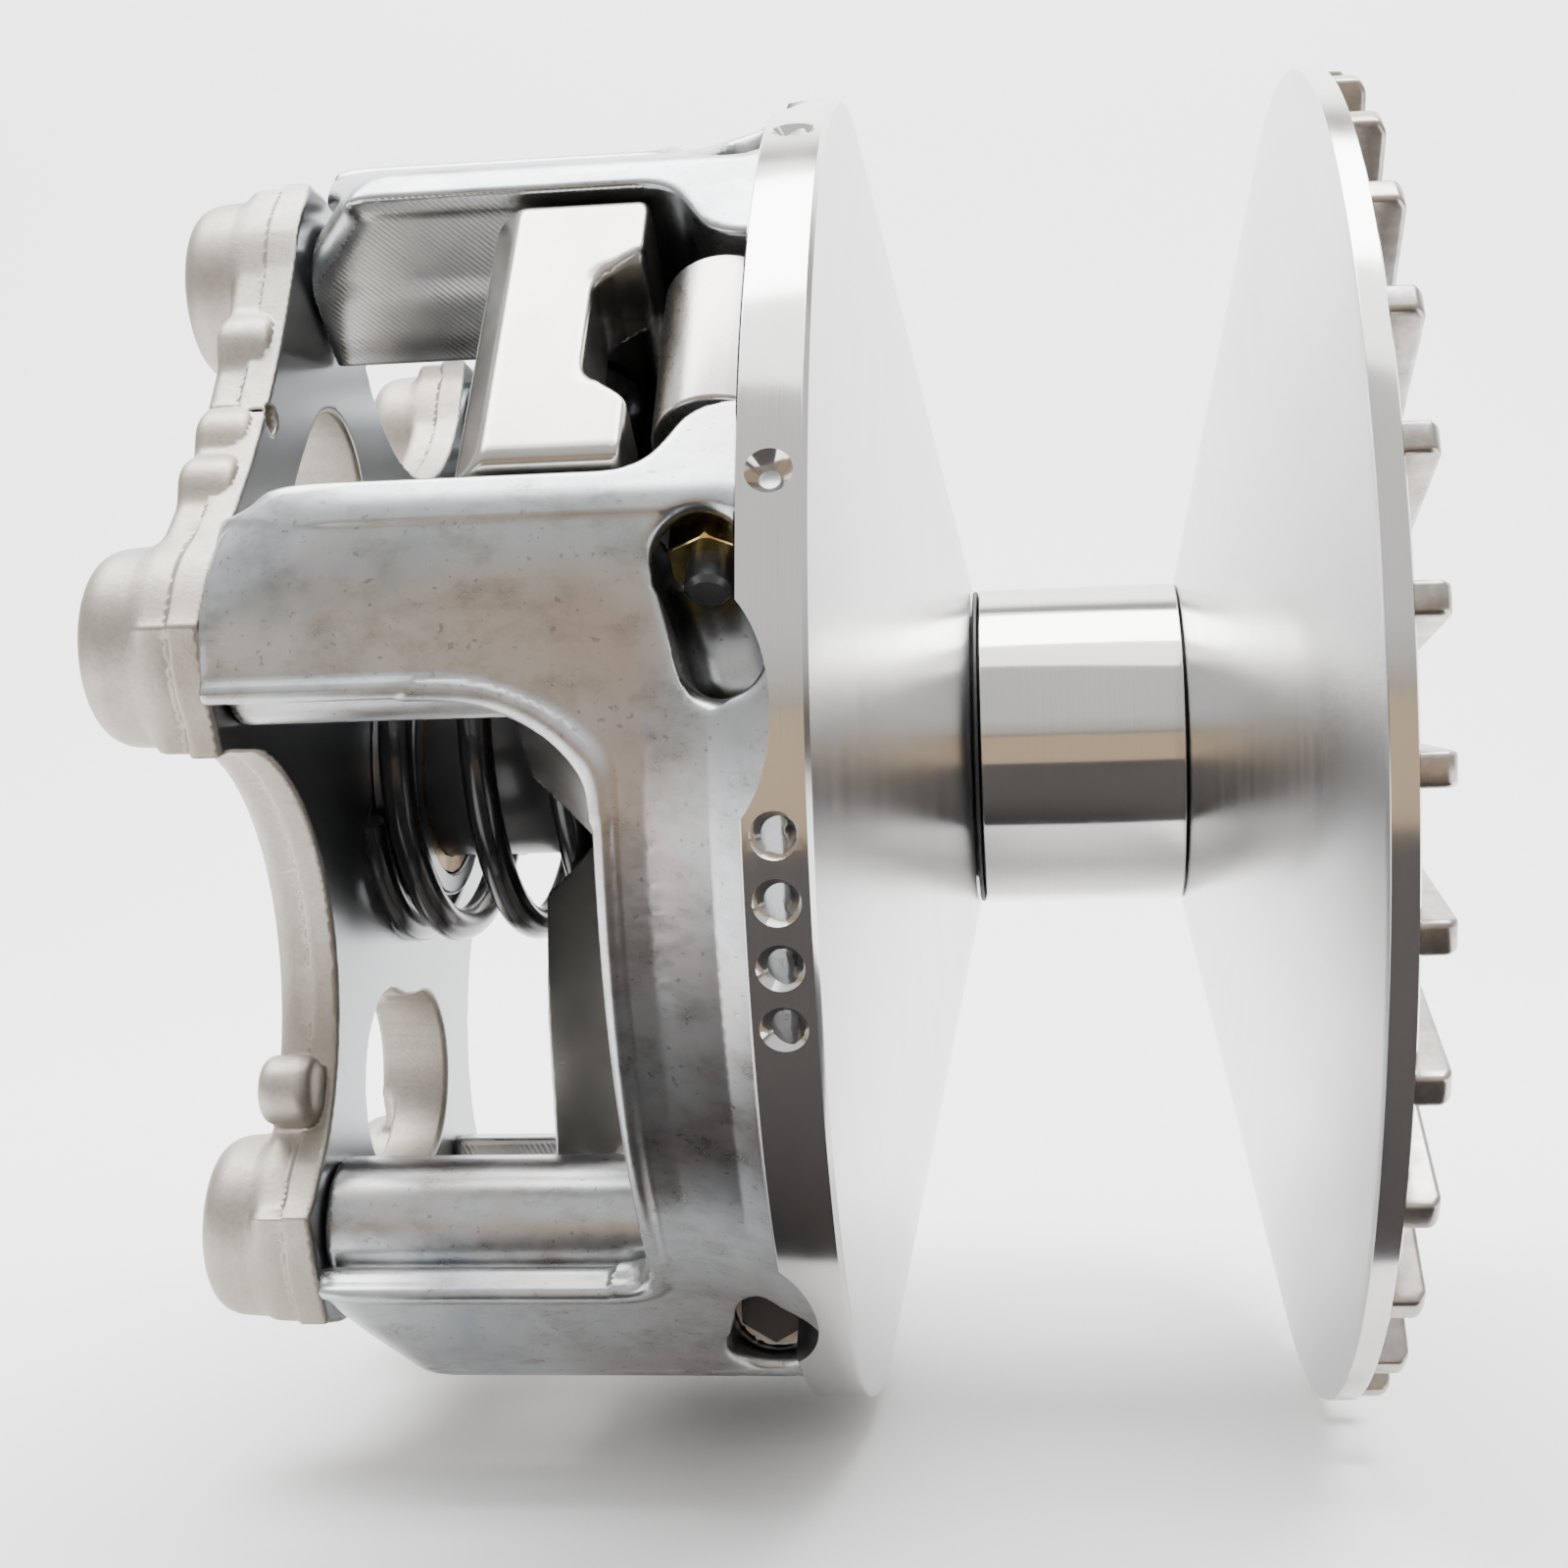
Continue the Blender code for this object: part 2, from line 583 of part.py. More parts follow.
def make_cover_bolts(mats, slide):
    for number, angle in enumerate(ARM_ANGLES, 1):
        for side in (-1, 1):
            name = f"{number}{'ab'[side > 0]}"
            centre = boss_centre(side)
            head = rod_mesh([(-171.0 * MM, 6.5 * MM), (-163.3 * MM, 6.5 * MM)], 12, centre)
            shank = rod_mesh([(-164.0 * MM, BOLT_RADIUS), (-131.0 * MM, BOLT_RADIUS)], 8, centre)
            socket = rod_mesh([(-173.0 * MM, 3.4 * MM), (-167.0 * MM, 3.4 * MM)], 6, centre)
            frame = arm_matrix(angle)
            bolt = place(add_object(f"cover_bolt_{name}", head, mats["zinc_steel"]), frame)
            boolean(bolt, place(add_object(f"shank_tool_{name}", shank, cutter=True), frame), "UNION")
            boolean(bolt, place(add_object(f"socket_tool_{name}", socket, cutter=True), frame))
            hang(bolt, slide)


def spider_blank_mesh():
    """Three-armed plate of the spider. Its sides between the arms are flat chords."""
    outline = []
    for angle in ARM_ANGLES:
        a = math.radians(angle)
        out = Vector((-math.cos(a), math.sin(a)))
        across = Vector((math.sin(a), math.cos(a)))
        corners = ((-ARM_HALF, 42.0 * MM), (-ARM_HALF, ARM_REACH - 2.0 * MM), (-ARM_HALF + 2.0 * MM, ARM_REACH))
        mirrored = tuple((-t, s) for t, s in reversed(corners))
        outline += [tuple(across * t + out * s) for t, s in corners + mirrored]
    return prism_mesh(outline, SPIDER_LEFT, SPIDER_RIGHT, "ts")


def make_spider(mats):
    spider = add_object("spider", spider_blank_mesh(), mats["milled_steel"])
    pocket = rod_mesh([(-130 * MM, SPRING_POCKET), (SPRING_FLOOR, SPRING_POCKET)], 32)
    cutters = [add_object("spring_pocket_tool", pocket, cutter=True)]
    bore = rod_mesh([(-110 * MM, SHAFT_RADIUS + CLEAR), (-90 * MM, SHAFT_RADIUS + CLEAR)], 24)
    cutters.append(add_object("spider_bore_tool", bore, cutter=True))
    for number, angle in enumerate(ARM_ANGLES, 1):
        frame = arm_matrix(angle)
        notch = [
            (-118.6 * MM, 34.5 * MM),
            (-98.0 * MM, 34.5 * MM),
            (-98.0 * MM, 96.0 * MM),
            (-107.5 * MM, 96.0 * MM),
            (-107.5 * MM, 79.5 * MM),
            (-118.6 * MM, 79.5 * MM),
        ]
        cut = prism_mesh(notch, -NOTCH_HALF, NOTCH_HALF, "xs")
        cutters.append(place(add_object(f"notch_tool_{number}", cut, cutter=True), frame))
        flare = [(-19.5 * MM, 0.0), (-NOTCH_HALF + MM, 5.5 * MM), (NOTCH_HALF - MM, 5.5 * MM), (19.5 * MM, 0.0)]
        mouth = bmesh.new()
        plan = [(-20.5 * MM, -1.0 * MM)] + flare + [(20.5 * MM, -1.0 * MM)]
        ring = [mouth.verts.new((SPIDER_RIGHT - x, t, 77.0 * MM)) for t, x in plan]
        grown = bmesh.ops.extrude_face_region(mouth, geom=[mouth.faces.new(ring)])
        moved = [g for g in grown["geom"] if isinstance(g, bmesh.types.BMVert)]
        bmesh.ops.translate(mouth, verts=moved, vec=(0.0, 0.0, 0.02))
        cutters.append(place(add_object(f"notch_mouth_tool_{number}", mouth, cutter=True), frame))
        pin = rod_mesh([(-40 * MM, 3.3 * MM), (40 * MM, 3.3 * MM)], 12, (ROLLER_X, ROLLER_S), "Y")
        cutters.append(place(add_object(f"pin_hole_tool_{number}", pin, cutter=True), frame))
        bevel = [(-124 * MM, 88.5 * MM), (-121.9 * MM, 88.5 * MM), (-118.3 * MM, 92.3 * MM), (-118.3 * MM, 96 * MM), (-124 * MM, 96 * MM)]
        edge = prism_mesh(bevel, -40 * MM, 40 * MM, "xs")
        cutters.append(place(add_object(f"arm_bevel_tool_{number}", edge, cutter=True), frame))
    boolean_group(spider, cutters)
    nut = rod_mesh([(-115.3 * MM, 20.6 * MM), (SPRING_FLOOR - CLEAR, 20.6 * MM)], 6)
    nut = add_object("spider_lock_nut", nut, mats["zinc_steel"])
    nut_bore = rod_mesh([(-120 * MM, SHAFT_RADIUS + CLEAR), (-100 * MM, SHAFT_RADIUS + CLEAR)], 24)
    boolean(nut, add_object("lock_nut_bore_tool", nut_bore, cutter=True))


def tube_mesh(low, high, inner, outer, steps, x, s):
    """A tube along t, centred on (x, s) in an arm's frame."""
    bm = turned_mesh([(low, inner), (low, outer), (high, outer), (high, inner)], steps)
    bmesh.ops.rotate(bm, cent=(0, 0, 0), matrix=Matrix.Rotation(math.radians(90.0), 3, "Z"), verts=bm.verts)
    bmesh.ops.translate(bm, vec=(x, 0.0, s), verts=bm.verts)
    return bm


def make_rollers(mats, spins):
    for number, angle in enumerate(ARM_ANGLES, 1):
        frame = arm_matrix(angle)
        half = NOTCH_HALF - 0.6 * MM
        roller = tube_mesh(-half, half, 3.4 * MM, ROLLER_RADIUS, 16, ROLLER_X, ROLLER_S)
        hang(place(add_object(f"roller_{number}", roller, mats["ground_steel"]), frame), spins[number - 1])
        pin = rod_mesh([(-24.4 * MM, 3.0 * MM), (24.4 * MM, 3.0 * MM)], 10, (ROLLER_X, ROLLER_S), "Y")
        place(add_object(f"roller_pin_{number}", pin, mats["zinc_steel"]), frame)
        for side in (-1, 1):
            low, high = sorted((side * (ARM_HALF + CLEAR), side * (SLOT_HALF - CLEAR)))
            disc = rod_mesh([(low, 8.0 * MM), (high, 8.0 * MM)], 12, (ROLLER_X, ROLLER_S), "Y")
            place(add_object(f"slide_button_{number}{'ab'[side > 0]}", disc, mats["black_nylon"]), frame)


def roller_path(share):
    """Roller centre in the flyweight's frame when the sheave has closed this share of its travel."""
    shift = share * TRAVEL
    turn = share * WEIGHT_SWING
    x = ROLLER_X - PIVOT_X - shift
    s = ROLLER_S - PIVOT_S
    return Vector((x * math.cos(turn) - s * math.sin(turn), x * math.sin(turn) + s * math.cos(turn)))


def ramp_points(count):
    """The flyweight's ramp: the roller's path in the weight's frame, offset by the roller's radius."""
    points = []
    for i in range(count):
        share = -0.04 + 1.11 * i / (count - 1)
        centre = roller_path(share)
        tangent = (roller_path(share + 0.01) - roller_path(share - 0.01)).normalized()
        normal = Vector((-tangent.y, tangent.x))
        if normal.x < 0.0:
            normal = -normal
        points.append(centre + normal * (ROLLER_RADIUS + 0.35 * MM))
    return points


def weight_mesh():
    """Flyweight about its pivot: hub at the origin, blade hanging along -s, ramp on the -x side."""
    ramp = [tuple(p) for p in ramp_points(9)]
    tip = [(-2.0 * MM, -WEIGHT_LENGTH), (0.6 * MM, -WEIGHT_LENGTH + 3.0 * MM)]
    back = [(2.2 * MM, -30.0 * MM), (4.0 * MM, -12.0 * MM), (6.0 * MM, -5.0 * MM)]
    shoulder = [(-6.0 * MM, -5.0 * MM)]
    return prism_mesh(shoulder + ramp + tip + back, -BLADE_HALF, BLADE_HALF, "xs")


def make_weights(mats, hinges, slide):
    for number, angle in enumerate(ARM_ANGLES, 1):
        frame = arm_matrix(angle)
        hub = rod_mesh([(-HUB_HALF, PIVOT_HUB), (HUB_HALF, PIVOT_HUB)], 20, (0.0, 0.0), "Y")
        hole = rod_mesh([(-30 * MM, PIVOT_HOLE), (30 * MM, PIVOT_HOLE)], 12, (0.0, 0.0), "Y")
        spot = frame @ Matrix.Translation((PIVOT_X, 0.0, PIVOT_S))
        weight = place(add_object(f"flyweight_{number}", hub, mats["ground_steel"]), spot)
        blade = place(add_object(f"blade_tool_{number}", weight_mesh(), cutter=True), spot)
        hole = place(add_object(f"pivot_hole_tool_{number}", hole, cutter=True), spot)
        boolean(weight, blade, "UNION")
        boolean(weight, hole)
        hang(weight, hinges[number - 1])
        bolt = rod_mesh([(-38.6 * MM, PIVOT_BOLT), (29.0 * MM, PIVOT_BOLT)], 10, (0.0, 0.0), "Y")
        head = rod_mesh([(28.6 * MM, 5.7 * MM), (33.2 * MM, 5.7 * MM)], 6, (0.0, 0.0), "Y")
        bolt = place(add_object(f"weight_bolt_{number}", bolt, mats["black_steel"]), spot)
        boolean(bolt, place(add_object(f"weight_bolt_head_tool_{number}", head, cutter=True), spot), "UNION")
        nut = rod_mesh([(-34.0 * MM, 5.7 * MM), (-28.6 * MM, 5.7 * MM)], 6, (0.0, 0.0), "Y")
        nut_hole = rod_mesh([(-50 * MM, PIVOT_HOLE), (-20 * MM, PIVOT_HOLE)], 10, (0.0, 0.0), "Y")
        nut = place(add_object(f"weight_nut_{number}", nut, mats["yellow_zinc"]), spot)
        boolean(nut, place(add_object(f"weight_nut_hole_tool_{number}", nut_hole, cutter=True), spot))
        hang(bolt, slide)
        hang(nut, slide)


def spring_points():
    """Centre line of the compression spring: closed end turns, open turns between them."""
    left = SPRING_LEFT + SPRING_WIRE
    right = SPRING_FLOOR - CLEAR - SPRING_WIRE
    points = []
    per_turn = 12
    total = int(SPRING_TURNS * per_turn)
    closed = 2.0 * SPRING_WIRE * 1.06
    for i in range(total + 1):
        turn = i / per_turn
        if turn <= 1.0:
            x = left + closed * turn
        elif turn >= SPRING_TURNS - 1.0:
            x = right - closed * (SPRING_TURNS - turn)
        else:
            share = (turn - 1.0) / (SPRING_TURNS - 2.0)
            x = left + closed + share * (right - left - 2.0 * closed)
        a = math.tau * turn + math.radians(200.0)
        points.append(Vector((x, SPRING_RADIUS * math.cos(a), SPRING_RADIUS * math.sin(a))))
    return points


def make_spring(mats):
    points = spring_points()
    bm = bmesh.new()
    sides = 6
    rings = []
    for i, point in enumerate(points):
        before = points[max(i - 1, 0)]
        after = points[min(i + 1, len(points) - 1)]
        tangent = (after - before).normalized()
        out = Vector((0.0, point.y, point.z)).normalized()
        out = (out - tangent * out.dot(tangent)).normalized()
        side = tangent.cross(out)
        ring = []
        for k in range(sides):
            a = math.tau * (k + 0.5) / sides
            ring.append(bm.verts.new(point + SPRING_WIRE * (math.cos(a) * out + math.sin(a) * side)))
        rings.append(ring)
    for first, second in zip(rings, rings[1:]):
        for k in range(sides):
            j = (k + 1) % sides
            bm.faces.new((first[k], first[j], second[j], second[k]))
    bm.faces.new(rings[0])
    bm.faces.new(rings[-1])
    add_object("primary_spring", bm, mats["black_spring"])


def make_materials():
    return {
        "turned_aluminium": material("turned_aluminium", (0.83, 0.83, 0.82), 1.0, 0.25),
        "cast_aluminium": material("cast_aluminium", (0.62, 0.64, 0.65), 1.0, 0.35),
        "blasted_aluminium": material("blasted_aluminium", (0.74, 0.71, 0.66), 1.0, 0.55),
        "ground_steel": material("ground_steel", (0.62, 0.61, 0.59), 1.0, 0.18),
        "milled_steel": material("milled_steel", (0.58, 0.56, 0.52), 1.0, 0.3),
        "zinc_steel": material("zinc_steel", (0.6, 0.6, 0.6), 1.0, 0.35),
        "yellow_zinc": material("yellow_zinc", (0.75, 0.58, 0.25), 1.0, 0.3),
        "black_steel": material("black_steel", (0.03, 0.03, 0.03), 0.6, 0.35),
        "black_spring": material("black_spring", (0.01, 0.01, 0.011), 0.0, 0.15),
        "black_rubber": material("black_rubber", (0.02, 0.02, 0.02), 0.0, 0.5),
        "black_nylon": material("black_nylon", (0.03, 0.03, 0.03), 0.0, 0.5),
        "bronze": material("bronze", (0.55, 0.38, 0.2), 1.0, 0.4),
        "brass": material("brass", (0.7, 0.55, 0.25), 1.0, 0.35),
    }


def main():
    clear_scene()
    mats = make_materials()
    slide = joint_empty("movable_slide_axis", (0.0, 0.0, 0.0))
    spin = joint_empty("sleeve_spin_axis", (0.0, 0.0, 0.0))
    hinges = []
    spins = []
    for number, angle in enumerate(ARM_ANGLES, 1):
        frame = arm_matrix(angle)
        hinge = joint_empty(f"weight_hinge_axis_{number}", frame @ Vector((PIVOT_X, 0.0, PIVOT_S)))
        hinge.parent = slide
        hinges.append(hinge)
        spins.append(joint_empty(f"roller_spin_axis_{number}", frame @ Vector((ROLLER_X, 0.0, ROLLER_S))))
    make_fixed_sheave(mats)
    make_shaft(mats)
    make_bearing(mats, spin)
    make_movable(mats, slide)
    make_cover(mats, slide)
    make_cover_bolts(mats, slide)
    make_spider(mats)
    make_rollers(mats, spins)
    make_weights(mats, hinges, slide)
    make_spring(mats)
    bpy.context.view_layer.update()


main()
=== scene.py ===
import math

import bmesh
import bpy
import numpy as np
from mathutils import Matrix, Vector


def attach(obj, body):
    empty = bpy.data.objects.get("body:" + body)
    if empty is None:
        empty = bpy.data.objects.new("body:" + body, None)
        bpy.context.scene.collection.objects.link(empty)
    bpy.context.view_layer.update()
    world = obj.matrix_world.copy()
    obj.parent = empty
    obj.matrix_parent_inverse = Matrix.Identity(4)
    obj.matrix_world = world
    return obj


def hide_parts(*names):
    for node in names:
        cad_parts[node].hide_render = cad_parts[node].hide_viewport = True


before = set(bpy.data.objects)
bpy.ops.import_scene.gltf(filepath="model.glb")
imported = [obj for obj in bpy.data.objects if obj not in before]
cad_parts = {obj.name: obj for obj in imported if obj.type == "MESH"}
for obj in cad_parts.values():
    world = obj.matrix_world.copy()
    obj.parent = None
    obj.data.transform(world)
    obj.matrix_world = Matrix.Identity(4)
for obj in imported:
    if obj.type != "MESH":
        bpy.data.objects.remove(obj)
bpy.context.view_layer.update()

# All shapes are written in millimetres in the row frame and scaled when a mesh is made.
# The clutch axis is X. Each arm has its own frame: x, t across the arm and s outwards.
MM = 0.001
GRID_STEP = 0.7
LATHE_STEPS = 256
KEPT_FACES = 0.35
FILLET_STEPS = 4

ARM = 36.5
THIRD = 120.0
ARMS = tuple(ARM + THIRD * i for i in range(3))

# sliding sheave: rim, hub and the slot for the spider's arm
RIM_R = 101.3
RIM_FRONT = -76.4
RIM_BACK = -85.2
HUB_FRONT = -59.5
HUB_R = 25.5
SLOT_HALF = 26.9
SLOT_END = -94.3
HUB_SLOT_HALF = 15.7
HUB_SLOT_END = -79.6
TOWER_LEFT = -152.8
TOWER_TOP = 94.8

# centre (t, s) and radius of a tower's arched back, where it ends in degrees, its thickness
BACK_CENTRE = (-2.4, 33.35)
BACK_R = 70.0
BACK_END = 48.5
SHELL = 5.4

# (x, s) of the flyweights' bolts and of the rollers
PIVOT = (-89.4, 84.0)
ROLLER = (-111.0, 69.0)
TRAVEL = 24.0
SWING = math.radians(46.0)

# cover: ring of bosses, windows and small ears of its outline (angle, radius, size)
BOSS_RING = 80.0
BOSS_ANGLE = 25.3
BOSS_R = 13.4
BOSS = (BOSS_RING * math.sin(math.radians(BOSS_ANGLE)), BOSS_RING * math.cos(math.radians(BOSS_ANGLE)))
COVER_LEFT = -171.3
COVER_RIGHT = -153.1
WINDOW_RING = 52.6
WINDOW_R = 14.2
EARS = ((9.5, 81.4, 4.4), (-2.6, 79.2, 4.2), (-9.6, 81.2, 4.4), (39.0, 67.5, 5.2))

# spider
ARM_HALF = 24.7
SPIDER_LEFT = -122.0
SPIDER_RIGHT = -100.0

FIN_COUNT = 32
FLOOR_Z = -104.5


# ---------------------------------------------------------------- mesh helpers

def link_object(name, data):
    obj = bpy.data.objects.new(name, data)
    bpy.context.scene.collection.objects.link(obj)
    return obj


def smooth(obj, angle=30.0):
    """Smooth shading with edges sharper than the angle kept."""
    obj.data.shade_smooth()
    obj.data.set_sharp_from_angle(angle=math.radians(angle))


def apply_modifiers(obj):
    graph = bpy.context.evaluated_depsgraph_get()
    made = bpy.data.meshes.new_from_object(obj.evaluated_get(graph))
    obj.modifiers.clear()
    obj.data = made


def make_object(name, verts, faces, mat, angle=30.0):
    """An object from points in millimetres."""
    mesh = bpy.data.meshes.new(name)
    mesh.from_pydata([tuple(v) for v in np.asarray(verts, float) * MM], [], [tuple(f) for f in faces])
    mesh.materials.append(mat)
    obj = link_object(name, mesh)
    smooth(obj, angle)
    return obj


def arm_matrix(angle):
    """The frame (x, t, s) of the arm that points at this angle above the front direction."""
    return Matrix.Rotation(math.radians(90.0 - angle), 4, "X")


def place(obj, matrix):
    """Moves a mesh by a matrix whose offset is in millimetres."""
    m = matrix.copy()
    m.translation = m.translation * MM
    obj.data.transform(m)
    return obj


def rounded(corners, closed):
    """A polyline of (a, b, radius) corners with every corner rounded to its radius."""
    points = []
    count = len(corners)
    for i, (a, b, radius) in enumerate(corners):
        here = Vector((a, b))
        if radius <= 0.0 or (not closed and i in (0, count - 1)):
            points.append((a, b))
            continue
        before = Vector(corners[i - 1][:2]) - here
        after = Vector(corners[(i + 1) % count][:2]) - here
        u, v = before.normalized(), after.normalized()
        half = u.angle(v) / 2.0
        cut = min(radius / math.tan(half), 0.48 * before.length, 0.48 * after.length)
        radius = cut * math.tan(half)
        centre = here + (u + v).normalized() * (radius / math.sin(half))
        start = here + u * cut - centre
        end = here + v * cut - centre
        turn = start.angle_signed(end)
        for k in range(FILLET_STEPS + 1):
            c, s = math.cos(-turn * k / FILLET_STEPS), math.sin(-turn * k / FILLET_STEPS)
            points.append((centre.x + start.x * c - start.y * s, centre.y + start.x * s + start.y * c))
    return points


def turned(name, corners, mat, steps=LATHE_STEPS, closed=True):
    """A shape turned about the X axis from rounded (x, radius) corners.

    A closed profile makes a ring; an open one makes a solid bar with flat ends.
    """
    profile = rounded(corners, closed)
    verts = []
    faces = []
    angles = [math.tau * i / steps for i in range(steps)]
    count = len(profile)
    for x, r in profile:
        verts += [(x, -r * math.cos(a), r * math.sin(a)) for a in angles]
    for j in range(count if closed else count - 1):
        k = (j + 1) % count
        for i in range(steps):
            m = (i + 1) % steps
            faces.append((j * steps + i, j * steps + m, k * steps + m, k * steps + i))
    if not closed:
        faces.append(tuple(range(steps)))
        faces.append(tuple((count - 1) * steps + i for i in range(steps)))
    obj = make_object(name, verts, faces, mat)
    face_outwards(obj)
    return obj


def face_outwards(obj, angle=30.0):
    bm = bmesh.new()
    bm.from_mesh(obj.data)
    bmesh.ops.recalc_face_normals(bm, faces=bm.faces)
    bm.to_mesh(obj.data)
    bm.free()
    smooth(obj, angle)


def finish_rim(obj, mat, radius):
    """Gives the outermost turned faces their own finish."""
    obj.data.materials.append(mat)
    for face in obj.data.polygons:
        if math.hypot(face.center.y, face.center.z) > radius * MM and abs(face.normal.x) < 0.9:
            face.material_index = 1


def along_t(obj):
    """Turns a piece made about the X axis so that its axis runs along t."""
    obj.data.transform(Matrix.Rotation(math.radians(90.0), 4, "Z"))
    return obj


def prism(name, outline, low, high, mat, plane="ts", bevel=0.0, segments=3):
    """An outline extruded and bevelled. plane "ts" runs along x, plane "xs" along t."""
    bm = bmesh.new()
    if plane == "ts":
        verts = [bm.verts.new((low * MM, a * MM, b * MM)) for a, b in outline]
        step = Vector(((high - low) * MM, 0.0, 0.0))
    else:
        verts = [bm.verts.new((a * MM, low * MM, b * MM)) for a, b in outline]
        step = Vector((0.0, (high - low) * MM, 0.0))
    grown = bmesh.ops.extrude_face_region(bm, geom=[bm.faces.new(verts)])["geom"]
    bmesh.ops.translate(bm, verts=[g for g in grown if isinstance(g, bmesh.types.BMVert)], vec=step)
    bmesh.ops.recalc_face_normals(bm, faces=bm.faces)
    if bevel:
        bmesh.ops.bevel(
            bm, geom=list(bm.edges), offset=bevel * MM, segments=segments, affect="EDGES", profile=0.5
        )
    mesh = bpy.data.meshes.new(name)
    bm.to_mesh(mesh)
    bm.free()
    mesh.materials.append(mat)
    obj = link_object(name, mesh)
    smooth(obj, 35.0)
    return obj


def hexagon(radius, turn=0.0):
    """Six corners; turn is a share of the angle between two of them."""
    angles = [math.tau * (i + turn) / 6 for i in range(6)]
    return [(radius * math.cos(a), radius * math.sin(a)) for a in angles]


def cut(target, *tools, operation="DIFFERENCE"):
    """Cuts the tools from the target, or keeps only what they share, and removes them."""
    for tool in tools:
        modifier = target.modifiers.new("cut", "BOOLEAN")
        modifier.operation = operation
        modifier.solver = "EXACT"
        modifier.object = tool
    apply_modifiers(target)
    for tool in tools:
        bpy.data.objects.remove(tool)
    smooth(target)


def join(name, objects):
    """One object from several, keeping their materials."""
    bm = bmesh.new()
    mats = []
    for obj in objects:
        start = len(bm.faces)
        bm.from_mesh(obj.data)
        bm.faces.ensure_lookup_table()
        index = {}
        for i, mat in enumerate(obj.data.materials):
            if mat not in mats:
                mats.append(mat)
            index[i] = mats.index(mat)
        for face in bm.faces[start:]:
            face.material_index = index.get(face.material_index, 0)
    mesh = bpy.data.meshes.new(name)
    bm.to_mesh(mesh)
    bm.free()
    for mat in mats:
        mesh.materials.append(mat)
    for obj in objects:
        bpy.data.objects.remove(obj)
    return link_object(name, mesh)


# ---------------------------------------------------------------- distance fields for cast shapes

def smin(a, b, k):
    """The union of two distances with a fillet of about k."""
    h = np.maximum(k - np.abs(a - b), 0.0) / k
    return np.minimum(a, b) - h * h * k * 0.25


def smax(a, b, k):
    """The overlap of two distances with an edge rounded by about k."""
    return -smin(-a, -b, k)


def box2(u, v, u0, u1, v0, v1, r):
    """Distance to a rectangle with corners of radius r."""
    du = np.abs(u - (u0 + u1) / 2.0) - (u1 - u0) / 2.0 + r
    dv = np.abs(v - (v0 + v1) / 2.0) - (v1 - v0) / 2.0 + r
    return np.hypot(np.maximum(du, 0.0), np.maximum(dv, 0.0)) + np.minimum(np.maximum(du, dv), 0.0) - r


def arm_coords(p):
    """x, radius, angle from the nearest arm, t and s of each point."""
    x, y, z = p[:, 0], p[:, 1], p[:, 2]
    r = np.hypot(y, z)
    turn = np.degrees(np.arctan2(z, -y)) - ARM
    phi = turn - THIRD * np.round(turn / THIRD)
    a = np.radians(phi)
    return x, r, phi, r * np.sin(a), r * np.cos(a)


def field_mesh(name, field, low, high, mat):
    """The zero surface of a distance field as a mesh with the field's own normals.

    A coarse grid finds the blocks near the surface, and only those are filled finely.
    """
    step = GRID_STEP
    block = 4
    batch = 400000
    low = np.array(low, float)
    counts = np.ceil((np.array(high) - low) / step / block).astype(int)
    nodes = counts * block + 1
    size = block * step
    grid = np.stack(np.meshgrid(*[np.arange(c) for c in counts], indexing="ij"), -1).reshape(-1, 3)
    middle = field(low + (grid + 0.5) * size)
    values = np.repeat(np.repeat(np.repeat(middle.reshape(counts), block, 0), block, 1), block, 2)
    values = np.pad(values, ((0, 1), (0, 1), (0, 1)), mode="edge").astype(np.float32)
    near = grid[np.abs(middle) < size * 1.35] * block
    offsets = np.stack(np.meshgrid(*[np.arange(block + 1)] * 3, indexing="ij"), -1).reshape(-1, 3)
    index = (near[:, None, :] + offsets[None]).reshape(-1, 3)
    flat = np.unique(index[:, 0] * (nodes[1] * nodes[2]) + index[:, 1] * nodes[2] + index[:, 2])
    ijk = np.stack(np.unravel_index(flat, nodes), -1)
    found = np.empty(len(flat), np.float32)
    for start in range(0, len(flat), batch):
        part = slice(start, start + batch)
        found[part] = field(low + ijk[part] * step)
    values.reshape(-1)[flat] = found
    verts, quads = surface_nets(values, low, step)
    # three steps along the gradient put the points on the surface
    for _ in range(3):
        d = field(verts)
        g = gradient(field, verts)
        verts = verts - g * np.clip(d / np.maximum((g * g).sum(1), 0.25), -step / 2, step / 2)[:, None]
    obj = make_object(name, verts, quads, mat, angle=180.0)
    obj.modifiers.new("reduce", "DECIMATE").ratio = KEPT_FACES
    apply_modifiers(obj)
    mesh = obj.data
    points = np.empty(len(mesh.vertices) * 3)
    mesh.vertices.foreach_get("co", points)
    points = points.reshape(-1, 3) / MM
    g = gradient(field, points)
    g /= np.maximum(np.linalg.norm(g, axis=1), 1e-9)[:, None]
    mesh.shade_smooth()
    mesh.normals_split_custom_set_from_vertices([tuple(n) for n in g])
    return obj


def finish_faces(obj, mat, test):
    """Gives every face whose centre (mm) and normal pass the test its own finish."""
    mesh = obj.data
    mesh.materials.append(mat)
    count = len(mesh.polygons)
    centre, normal = np.empty(count * 3), np.empty(count * 3)
    mesh.polygons.foreach_get("center", centre)
    mesh.polygons.foreach_get("normal", normal)
    chosen = test(centre.reshape(-1, 3) / MM, normal.reshape(-1, 3))
    mesh.polygons.foreach_set("material_index", chosen.astype(np.int32) * (len(mesh.materials) - 1))


def gradient(field, p, h=0.12):
    out = np.empty_like(p)
    for axis in range(3):
        step = np.zeros(3)
        step[axis] = h
        out[:, axis] = (field(p + step) - field(p - step)) / (2.0 * h)
    return out


